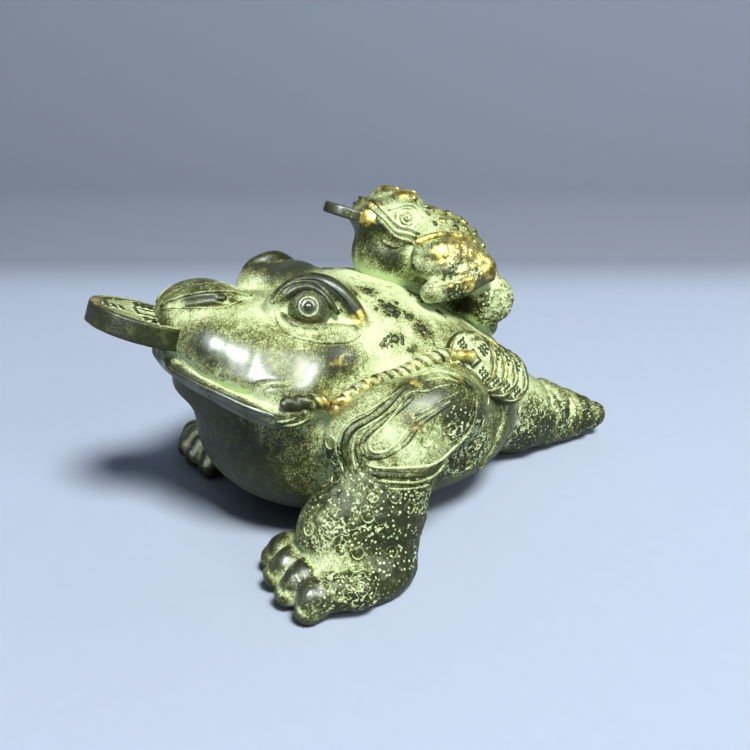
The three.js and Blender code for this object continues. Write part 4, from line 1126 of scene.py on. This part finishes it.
# Wear and painted shade, as x, y, z, radius and amount. Powder lies where the amount is above zero and
# is worn or wiped off where it is below; in the places marked below, less powder paints shade and more
# paints a highlight.
powder_and_shade_spots = [
    # back, temple and neck
    (4, -8, 58.5, 9, 0.45), (16, -5, 56, 9, 0.4), (27, -15, 50, 7, 0.45), (26, -6, 50.5, 8, 0.3),
    (16, 6, 53, 8, 0.3), (32, 4, 47.5, 5, 0.35), (33, -12, 46, 5, 0.5), (40, -24, 39.5, 6, 0.5),
    (42.4, -31.9, 35, 5, 0.35), (38, -14, 43.5, 5, 0.5), (42, -5, 43.5, 4, 0.4),
    # head
    (9.9, -53.6, 54.9, 4, 0.3), (12.5, -48.6, 55, 4, 0.3), (17.5, -42.6, 54, 6, 0.25),
    (14, -36, 56, 5, 0.4), (6.5, -33.4, 55.1, 5, 0.3), (11.1, -56.2, 44, 3.5, 0.7),
    (17.3, -53.6, 43.1, 3.5, 0.7), (22.8, -50.4, 42, 3.5, 0.7), (26.8, -46.9, 40.5, 3.5, 0.7),
    (31.3, -44, 39.6, 3.5, 0.7), (34, -41.6, 39, 3, 0.45), (26, -20, 51, 3.5, 0.4),
    (28, -31, 51, 3, 0.3), (19, -36.5, 56, 3.5, 0.35),
    # inside and under the loop
    (50, -21, 35, 3.5, 0.5), (51.8, -17, 30.4, 5, 0.5), (50.3, -8.4, 31, 5, 0.35),
    (49, -26.8, 31.8, 2, 0.3),
    # leg and foot
    (49.2, -35.9, 16, 5, 0.15), (52, -35, 12, 5, 0.25), (53, -38, 10, 3, 0.5), (46, -38, 11, 3, 0.4),
    # tail
    (6, 61, 13, 3, 0.5), (13, 42, 21, 8, 0.5),
    # head and haunch of the small toad
    (10, 3, 72, 6, 0.75), (9, 12, 70, 6, 0.25), (15.8, 28, 50, 7, 1.1), (13, 8, 66, 3, 0.3),
    # throat, belly and chest: less powder, so darker bare metal, painted as the shade under the head
    # and body
    (5, -51, 31.6, 12, -0.5), (10, -49, 24, 14, -0.6), (15, -47, 17, 14, -0.6), (0, -20, 3, 30, -0.4),
    (32, -44, 34, 5, -0.3), (16, -54, 38.5, 5, -0.5), (27, -41, 22, 8, 0.03), (30, -37, 16, 8, 0.03),
    (29, -39, 28, 7, 0.03), (33, -36.5, 32, 5, -0.2), (46, -32, 29, 5, -0.3),
    # worn: brows, lids and snout
    (-16, -24, 61, 9, -0.8), (-7, -22, 59.5, 6, -0.35), (18.5, -31.5, 61, 3.2, -0.6),
    (21, -25.5, 62.4, 3.6, -0.75), (23, -20, 58.5, 3.4, -0.75), (24.5, -17, 54, 3, -0.6),
    (22.5, -27.5, 56.5, 4, 0.1), (-1, -48, 59, 8, -0.2), (6, -46, 58.8, 4, -0.1),
    # worn: cheek
    (18, -51, 51.5, 4, -0.3), (21, -50, 48.6, 4, -0.3), (25, -47.5, 46.5, 4, -0.35),
    (29, -44, 44.4, 4, -0.35), (32, -40.5, 44, 4, -0.35), (31.5, -32, 45.5, 5, -0.22),
    (31, -23.5, 46, 5, -0.3), (23, -42, 49, 6, -0.15), (9.2, -51, 56.8, 1.7, -1.5),
    (9.9, -47.8, 57, 1.7, -1.5), (9.8, -44.6, 56.8, 1.7, -1.5), (8.6, -40.4, 56.2, 1.5, -1.3),
    # worn: shoulder, leg, toes and tail
    (47.8, -8, 40.5, 5, -0.35), (48.6, -1.5, 35, 5, -0.4), (54.6, -20, 14, 8, -0.2),
    (57, -22, 6, 9, -0.25), (50, -12, 16, 9, -0.2), (56.3, -42.6, 8.4, 3.4, -0.8),
    (50.6, -43, 9.4, 2.8, -0.8), (43.8, -43, 9.4, 2.8, -0.8), (36, -42, 8.6, 2.8, -0.5),
    (13, 45, 8, 8, -0.5), (7, 67, 6.5, 5, -0.4), (4, 60.8, 16, 2.4, -0.5), (4, 67, 12.5, 2.6, -0.5),
    (3, 73, 8, 3, -0.4),
    # worn: throat and arms of the small toad
    (5, -4.5, 64.5, 5, -0.5), (9.5, -1, 63, 3.5, -0.45), (11, 2, 61.5, 3.5, -0.4),
    (3, -5.6, 68.6, 3, -0.4),
    # edge of the lower lip, worn dark, with its dark carried down below the lip as painted shadow
    (10.4, -57, 43.1, 2.2, -1), (13, -56.1, 42.5, 2.2, -1), (15.6, -55, 41.9, 2.2, -1),
    (18.4, -53.7, 41.2, 2.2, -1), (21.2, -52.2, 40.6, 2.2, -1), (24.1, -50.6, 40, 2.2, -1),
    (27, -48.8, 39.3, 2.2, -1), (29.9, -46.8, 38.6, 2.2, -1), (32.4, -44.8, 37.9, 2.2, -1),
    # the small toad's mouth; then, at -0.9, painted shade in the hollow under its elbow and haunch,
    # and a little powder by its hand
    (6.4, -5, 71, 1.8, -0.6), (8.7, -2.6, 69.8, 1.4, -0.4), (9.6, -0.3, 67.6, 1.4, -0.5),
    (10.5, 2.2, 66.2, 1.3, -0.4), (19.6, 12, 56, 5, -0.1), (8.5, 18.6, 47.2, 4, -0.9),
    (12.5, 20.5, 49.3, 2.4, -0.9), (14.6, 23.6, 52.6, 1.8, -0.9), (20.8, 7, 56, 3, 0.3),
    # the fronts of the two mouth coins, and a pale patch painted as the highlight on the near face of
    # the small coin
    (0, -72, 56, 8, -0.35), (0, -14, 75, 5, -0.6), (4.5, -9.5, 74, 2.6, 1),
]
# Smooth and polished, and rubbed to gold, in the same way.
polish_spots = [
    (19, -50, 50, 5, 1), (25, -46.5, 46.5, 5, 1), (30, -42, 45, 5, 1), (32, -32, 45.5, 6, 1),
    (30, -24, 47, 4, 0.7), (19.5, -29, 62, 3, 0.5), (22.5, -21.5, 60, 3, 0.8), (24.5, -17, 54, 3, 0.5),
    (-10, -24, 59, 9, 0.6), (8, -57, 42.5, 4, 1), (18, -53, 40.5, 5, 1), (27, -48, 38.5, 5, 1),
    (34, -43, 37, 4, 1), (9.5, -47, 57, 4, 0.3), (-1, -48, 59, 8, 0.3), (56, -42, 8, 4, 1),
    (50.5, -43, 9, 3, 1), (43.8, -43, 9, 3, 0.8), (23.5, -28, 56, 5, 0.4), (18, 16, 63, 6, 0.9),
    (47.5, -10, 41, 5, 0.6), (0, -73, 56, 9, 0.4), (37, -28, 40, 6, 0.8), (2, -9, 74, 6, 0.8),
]
gold_spots = [
    (24.8, -16.6, 52.4, 2.6, 0.9), (31.5, -24.5, 45.6, 4.5, 0.42), (31, -21, 47, 3, 0.42),
    (38.4, -28.5, 39.4, 4.5, 1.1), (38.5, -20, 41.5, 4, 0.5), (35.5, 5, 44.5, 4, 0.8),
    (44.6, -12.7, 43, 2.5, 0.45), (43.4, -0.9, 42, 3, 0.6), (50, -16, 36.8, 2.4, 0.45),
    (0, -73, 56, 7, 0.65), (8, -60, 51, 4, 0.4), (3.4, -2.6, 75.6, 2.6, 1), (5.5, 4.4, 78.2, 3, 1),
    (16.8, 9, 64, 3.5, 0.8), (16.5, 14.5, 65, 4, 1.1), (16.8, 20, 63, 4, 1.1), (18, 22, 59, 3, 1),
    (18.4, 15, 60.5, 3, 0.8), (20.4, 15, 57, 3.5, 0.7), (20.6, 9, 57.6, 3, 0.4),
    (5, -5.5, 72.5, 2.4, 1.1), (11, 5.5, 66.6, 2.5, 0.9), (15, 29, 51, 5, 0.25), (13, 31, 55, 4, 0.4),
    (-9, -16, 59.5, 4, 0.3), (34, 12, 42, 12, 0.35),
]
# How much powder a piece takes beyond the flesh, and how much gold, for what is laid on it.
shares_of_wear = {
    "carved_lines": (0.75, -0.5), "stamped_rings": (0.85, -0.5), "shoulder_bands": (-0.05, 0.1),
    "small_ropes": (-0.3, 0.5), "flank_coins": (0.6, 0), "small_coins": (0, 0.4),
    "mouth_coin": (0.3, 0), "small_coin": (-0.5, 0), "back_warts": (0.12, 0),
    "small_bumps": (0.2, 0.25), "eye_rings": (0.3, 0.1),
}


def wear_and_shade(piece):
    """Stores how powdered, golden, polished, pitted and turned down each vertex is; in places the
    powder paints shade or a highlight, and the turned-down value paints shade.
    """
    points = points_of(piece)
    normals = normals_of(piece)
    more_powder, more_gold = shares_of_wear.get(piece.name, (0, 0))
    high = crest(piece, points, normals)
    if piece in flesh:
        recess = 1 - openness(points, normals) - 0.8 * np.clip(high, -0.6, 1)
    else:
        recess = np.clip(-high * 1.5, -0.9, 0.8)
    powder = 0.4 + 0.22 * np.clip(normals[:, 2], -0.9, 0.7) + 1.1 * recess
    powder += spotted(points, powder_and_shade_spots, add=True) + more_powder - 1.6 * marks.get(piece.name, 0)
    powder -= spotted(points, [(x, y, z, 1.4 * r, 0.7) for x, y, z, r in warts])
    bright = spotted(points, gold_spots)
    gold = bright + more_gold + 0.4 * high - 0.45 * marks.get(piece.name, 0)
    powder -= 0.75 * bright
    if piece.name == "ropes":
        on_top = rise(np.concatenate(strands), 0.2, 0.62)
        powder = 1.3 * on_top - 0.3 - 0.75 * bright - 0.9 * rise(-points[:, 1], 33, 35.5)
        gold = (bright + 0.1) * on_top + 0.5 * (1 - on_top) * rise(points[:, 1], -33, -31)
    # The coin's underside and edge are darker than its upper face.
    if piece.name == "mouth_coin":
        powder -= 0.5 * rise(-normals[:, 2], -0.6, 0)
    if piece.name == "eyes":
        powder = np.where(points[:, 2] > 66, 0.9, 0.34) - 0.4 * high
        for centre, radius in pupils:
            out = np.linalg.norm(points - centre, axis=1) / radius
            powder += 0.9 * np.exp(-(((out - 1.02) / 0.1) ** 2)) - 1.2 * (out < 0.9)
    set_value(piece, "powder", np.clip(powder, -0.6, 1.4))
    set_value(piece, "gold", np.clip(gold, -0.5, 1.5))
    polish = spotted(points, polish_spots) if piece.name != "eyes" else np.ones(len(points))
    set_value(piece, "polish", np.clip(polish, 0, 1))
    set_value(piece, "pits", spotted(points, pit_spots if piece in flesh else []))
    # How far each vertex faces down; the material paints this as shade on the undersides.
    set_value(piece, "under", np.clip(-normals[:, 2] * 1.4 + 0.1, 0, 1))


for piece in pieces:
    wear_and_shade(piece)


# Materials.


class Nodes:
    """Short names for the nodes of a material."""

    def __init__(self, material):
        material.use_nodes = True
        self.tree = material.node_tree
        self.shader = self.tree.nodes["Principled BSDF"]
        self.place = self.tree.nodes.new("ShaderNodeTexCoord").outputs["Object"]

    def put(self, sockets, values):
        """Links or sets sockets."""
        for socket, value in zip(sockets, values):
            if isinstance(value, bpy.types.NodeSocket):
                self.tree.links.new(value, socket)
            else:
                socket.default_value = value

    def fill(self, node, values):
        """Links or sets a node's inputs by name."""
        self.put([node.inputs[name] for name in values], values.values())
        return node

    def new(self, kind, values):
        """A new node with its inputs filled."""
        return self.fill(self.tree.nodes.new(kind), values)

    def value(self, name):
        """The number stored for each vertex under a name."""
        node = self.tree.nodes.new("ShaderNodeAttribute")
        node.attribute_name = name
        return node.outputs["Fac"]

    def maths(self, operation, a, b=0.0, clamp=False):
        node = self.tree.nodes.new("ShaderNodeMath")
        node.operation = operation
        node.use_clamp = clamp
        self.put(node.inputs, (a, b))
        return node.outputs[0]

    def add(self, *terms):
        total = terms[0]
        for term in terms[1:]:
            total = self.maths("ADD", total, term)
        return total

    def times(self, a, b, clamp=False):
        return self.maths("MULTIPLY", a, b, clamp)

    def spread(self, value, amount):
        """The value about its middle, as plus or minus half the amount."""
        return self.times(self.maths("SUBTRACT", value, 0.5), amount)

    def step(self, value, low, high, to_low=0.0, to_high=1.0):
        """A smooth step of the value from low to high."""
        node = self.tree.nodes.new("ShaderNodeMapRange")
        node.interpolation_type = "SMOOTHSTEP"
        self.put(node.inputs, (value, low, high, to_low, to_high))
        return node.outputs[0]

    def noise(self, size, detail, rough, seed):
        """Noise whose features are about size millimetres across."""
        node = self.tree.nodes.new("ShaderNodeTexNoise")
        node.noise_dimensions = "4D"
        self.fill(node, {
            "Vector": self.place, "W": seed, "Scale": 1000 / size, "Detail": detail,
            "Roughness": rough,
        })
        return node.outputs["Fac"]

    def cells(self, size):
        """Distance to the nearest of points scattered about size millimetres apart."""
        node = self.new("ShaderNodeTexVoronoi", {"Vector": self.place, "Scale": 1000 / size})
        return node.outputs["Distance"]

    def mix(self, share, a, b):
        """Colour a, going over to b with the share."""
        node = self.tree.nodes.new("ShaderNodeMix")
        node.data_type = "RGBA"
        sockets = [socket for socket in node.inputs if socket.type == "RGBA"]
        colours = [(*colour, 1) if isinstance(colour, tuple) else colour for colour in (a, b)]
        self.put([node.inputs[0], *sockets], [share, *colours])
        return next(socket for socket in node.outputs if socket.type == "RGBA")

    def bump(self, height, millimetres, *normal):
        """The normal tilted by a height, on top of another normal where one is given."""
        node = self.new("ShaderNodeBump", {"Strength": 1, "Distance": millimetres * MM})
        self.put([node.inputs["Height"], node.inputs["Normal"]], [height, *normal])
        return node.outputs["Normal"]


def bronze():
    """Dark bronze under pale green powder, rubbed to gold in places; the stored values also paint
    shade and a highlight on it.
    """
    material = bpy.data.materials.new("patinated_bronze")
    n = Nodes(material)
    blotch = n.noise(12, 3, 0.55, 1)
    patch = n.noise(2.2, 4, 0.65, 2)
    grain = n.noise(0.34, 2, 0.7, 3)
    pits = n.step(n.value("pits"), 0.25, 0.6)
    hole = n.step(n.add(n.cells(1.1), n.spread(patch, 0.7)), 0.2, 0.36, 1, 0)
    crack = n.step(n.maths("ABSOLUTE", n.spread(n.noise(1.5, 1, 0.5, 6), 1)), 0.015, 0.05, 1, 0)
    hole = n.times(n.maths("MAXIMUM", hole, n.times(crack, n.step(blotch, 0.45, 0.6))), pits)
    hold = n.add(
        n.value("powder"), n.spread(patch, 0.8), n.spread(grain, 2.4), n.spread(blotch, 0.3),
        n.times(pits, -0.42), n.times(hole, 1.35),
    )
    powder = n.step(hold, 0.15, 0.88)
    gold = n.step(n.add(n.value("gold"), n.spread(patch, 1), n.spread(grain, 0.5)), 0.3, 0.7)
    metal = n.mix(blotch, (0.012, 0.015, 0.005), (0.043, 0.053, 0.013))
    metal = n.mix(n.step(patch, 0.48, 0.7), metal, (0.08, 0.098, 0.02))
    # Painted shade: where the surface faces down, the bare metal takes one flat dark tone.
    metal = n.mix(n.value("under"), metal, (0.032, 0.038, 0.010))
    brass = n.mix(n.step(patch, 0.35, 0.62), (0.10, 0.062, 0.010), (0.60, 0.49, 0.11))
    metal = n.mix(gold, metal, brass)
    thick = n.step(n.add(hold, n.spread(patch, 0.8)), 0.35, 1.35)
    dust = n.mix(thick, (0.30, 0.345, 0.075), (0.72, 0.84, 0.49))
    bare = n.maths("SUBTRACT", 1.0, powder)
    rough = n.add(n.times(powder, 0.26), n.step(grain, 0.3, 0.7, 0.3, 0.46))
    uneven = n.bump(n.noise(4, 2, 0.5, 5), 0.25)
    n.fill(n.shader, {
        "Base Color": n.mix(powder, metal, dust),
        "Metallic": n.times(bare, n.add(n.times(gold, 0.6), 0.15)),
        "Roughness": n.add(rough, n.times(n.value("under"), 0.15)),
        "Specular IOR Level": 0.2,
        "Coat Weight": n.times(n.value("polish"), n.add(bare, 0.25), True),
        "Coat Roughness": 0.34,
        "Normal": n.bump(grain, 0.13, n.bump(hole, -0.2, uneven)),
    })
    return material


coat = bronze()
for piece in pieces:
    piece.data.materials.clear()
    piece.data.materials.append(coat)
    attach(piece, "root")
    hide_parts("toad_figure")


# The view, in degrees and millimetres, fitted to the photo, and the photo's focal length and
# width in pixels.
VIEW_AZIMUTH = 64.2
VIEW_ELEVATION = 18.7
VIEW_DISTANCE = 228
VIEW_TARGET = Vector((0, -0.8, 29.5)) + Vector(DRAWN_ORIGIN)
FOCAL_PIXELS = 850
PHOTO_PIXELS = 750
SENSOR_WIDTH = 36

# The backdrop: how far its floor and wall reach, where it starts to curve up and the radius.
SWEEP_REACH = 900
SWEEP_HALF_WIDTH = 1500
SWEEP_START = 314
SWEEP_BEND = 40

# How far away the lights are, and the point that they face.
LIGHT_DISTANCE = 1500
LIGHT_TARGET = Vector((0, 0, 25))


def toward(azimuth, elevation):
    """The unit vector from the figure toward an azimuth and elevation in degrees."""
    a, e = math.radians(azimuth), math.radians(elevation)
    return Vector((math.sin(a) * math.cos(e), -math.cos(a) * math.cos(e), math.sin(e)))


def aim(obj, place, backward):
    """Puts an object at a place in millimetres, looking away from backward."""
    obj.location = place * MM
    obj.rotation_mode = "QUATERNION"
    obj.rotation_quaternion = backward.to_track_quat("Z", "Y")


def sweep():
    """A floor that curves up into a wall behind the figure, as rows of points across the view."""
    turn = math.radians(VIEW_AZIMUTH)
    right = Vector((math.cos(turn), math.sin(turn), 0))
    rear = Vector((-math.sin(turn), math.cos(turn), 0))
    rows = [(-SWEEP_REACH, 0), (0, 0), (SWEEP_START, 0)]
    for a in np.linspace(0, math.pi / 2, 17)[1:]:
        rows.append((SWEEP_START + SWEEP_BEND * math.sin(a), SWEEP_BEND * (1 - math.cos(a))))
    rows.append((SWEEP_START + SWEEP_BEND, SWEEP_REACH))
    vertices = [
        (rear * y + Vector((0, 0, z)) + right * x) * MM
        for y, z in rows for x in (-SWEEP_HALF_WIDTH, SWEEP_HALF_WIDTH)
    ]
    faces = [(2 * i, 2 * i + 1, 2 * i + 3, 2 * i + 2) for i in range(len(rows) - 1)]
    obj = added_mesh("backdrop", vertices, faces)
    material = bpy.data.materials.new("paper_and_painted_shade")
    n = Nodes(material)
    # Painted shade: the backdrop is coloured darker toward the back and up the wall.
    axes = n.new("ShaderNodeSeparateXYZ", {"Vector": n.place})
    along = n.add(n.times(axes.outputs[0], rear.x), n.times(axes.outputs[1], rear.y))
    depth = n.add(along, axes.outputs[2])
    darker = n.step(depth, (SWEEP_START - 110) * MM, (SWEEP_START + SWEEP_BEND + 10) * MM)
    tone = n.mix(darker, (0.54, 0.63, 0.79), (0.25, 0.285, 0.35))
    mottle = n.add(n.spread(n.noise(5, 4, 0.6, 8), 0.08), 0.06)
    paper_and_painted_shade = n.mix(mottle, tone, (0.2, 0.22, 0.27))
    n.fill(n.shader, {"Base Color": paper_and_painted_shade, "Roughness": 1, "Specular IOR Level": 0})
    obj.data.materials.append(material)
    return obj


backdrop = sweep()


def area(name, azimuth, elevation, size, power, colour):
    """A soft round light, seen from the figure at an azimuth and elevation in degrees."""
    light = bpy.data.lights.new(name, "AREA")
    light.shape = "DISK"
    light.size = size * MM
    light.energy = power
    light.color = colour
    obj = added(name, light)
    direction = toward(azimuth, elevation)
    aim(obj, direction * LIGHT_DISTANCE + LIGHT_TARGET, direction)
    return obj


# A soft key light and its fill, and two large lights that show in the gloss alone.
area("key", 89, 55, 440, 27, (1.0, 1.0, 0.97))
area("side", 112, 27, 500, 3, (0.95, 1.0, 1.0))
for azimuth, elevation, size, power in ((28, 42, 680, 90), (113, 38, 420, 42)):
    glint = area("glint", azimuth, elevation, size, power, (0.88, 0.96, 1.0))
    glint.visible_diffuse = False

world = bpy.data.worlds.new("studio")
world.use_nodes = True
background = world.node_tree.nodes["Background"]
background.inputs["Color"].default_value = (0.75, 0.85, 1.0, 1)
background.inputs["Strength"].default_value = 0.007
bpy.context.scene.world = world
bpy.context.scene.view_settings.view_transform = "Standard"

camera = added("camera", bpy.data.cameras.new("camera"))
camera.data.sensor_width = SENSOR_WIDTH
camera.data.lens = SENSOR_WIDTH * FOCAL_PIXELS / PHOTO_PIXELS
camera.data.clip_start = 0.005
camera.data.clip_end = 20
back = toward(VIEW_AZIMUTH, VIEW_ELEVATION)
aim(camera, VIEW_TARGET + back * VIEW_DISTANCE, back)
bpy.context.scene.camera = camera

bpy.context.view_layer.update()
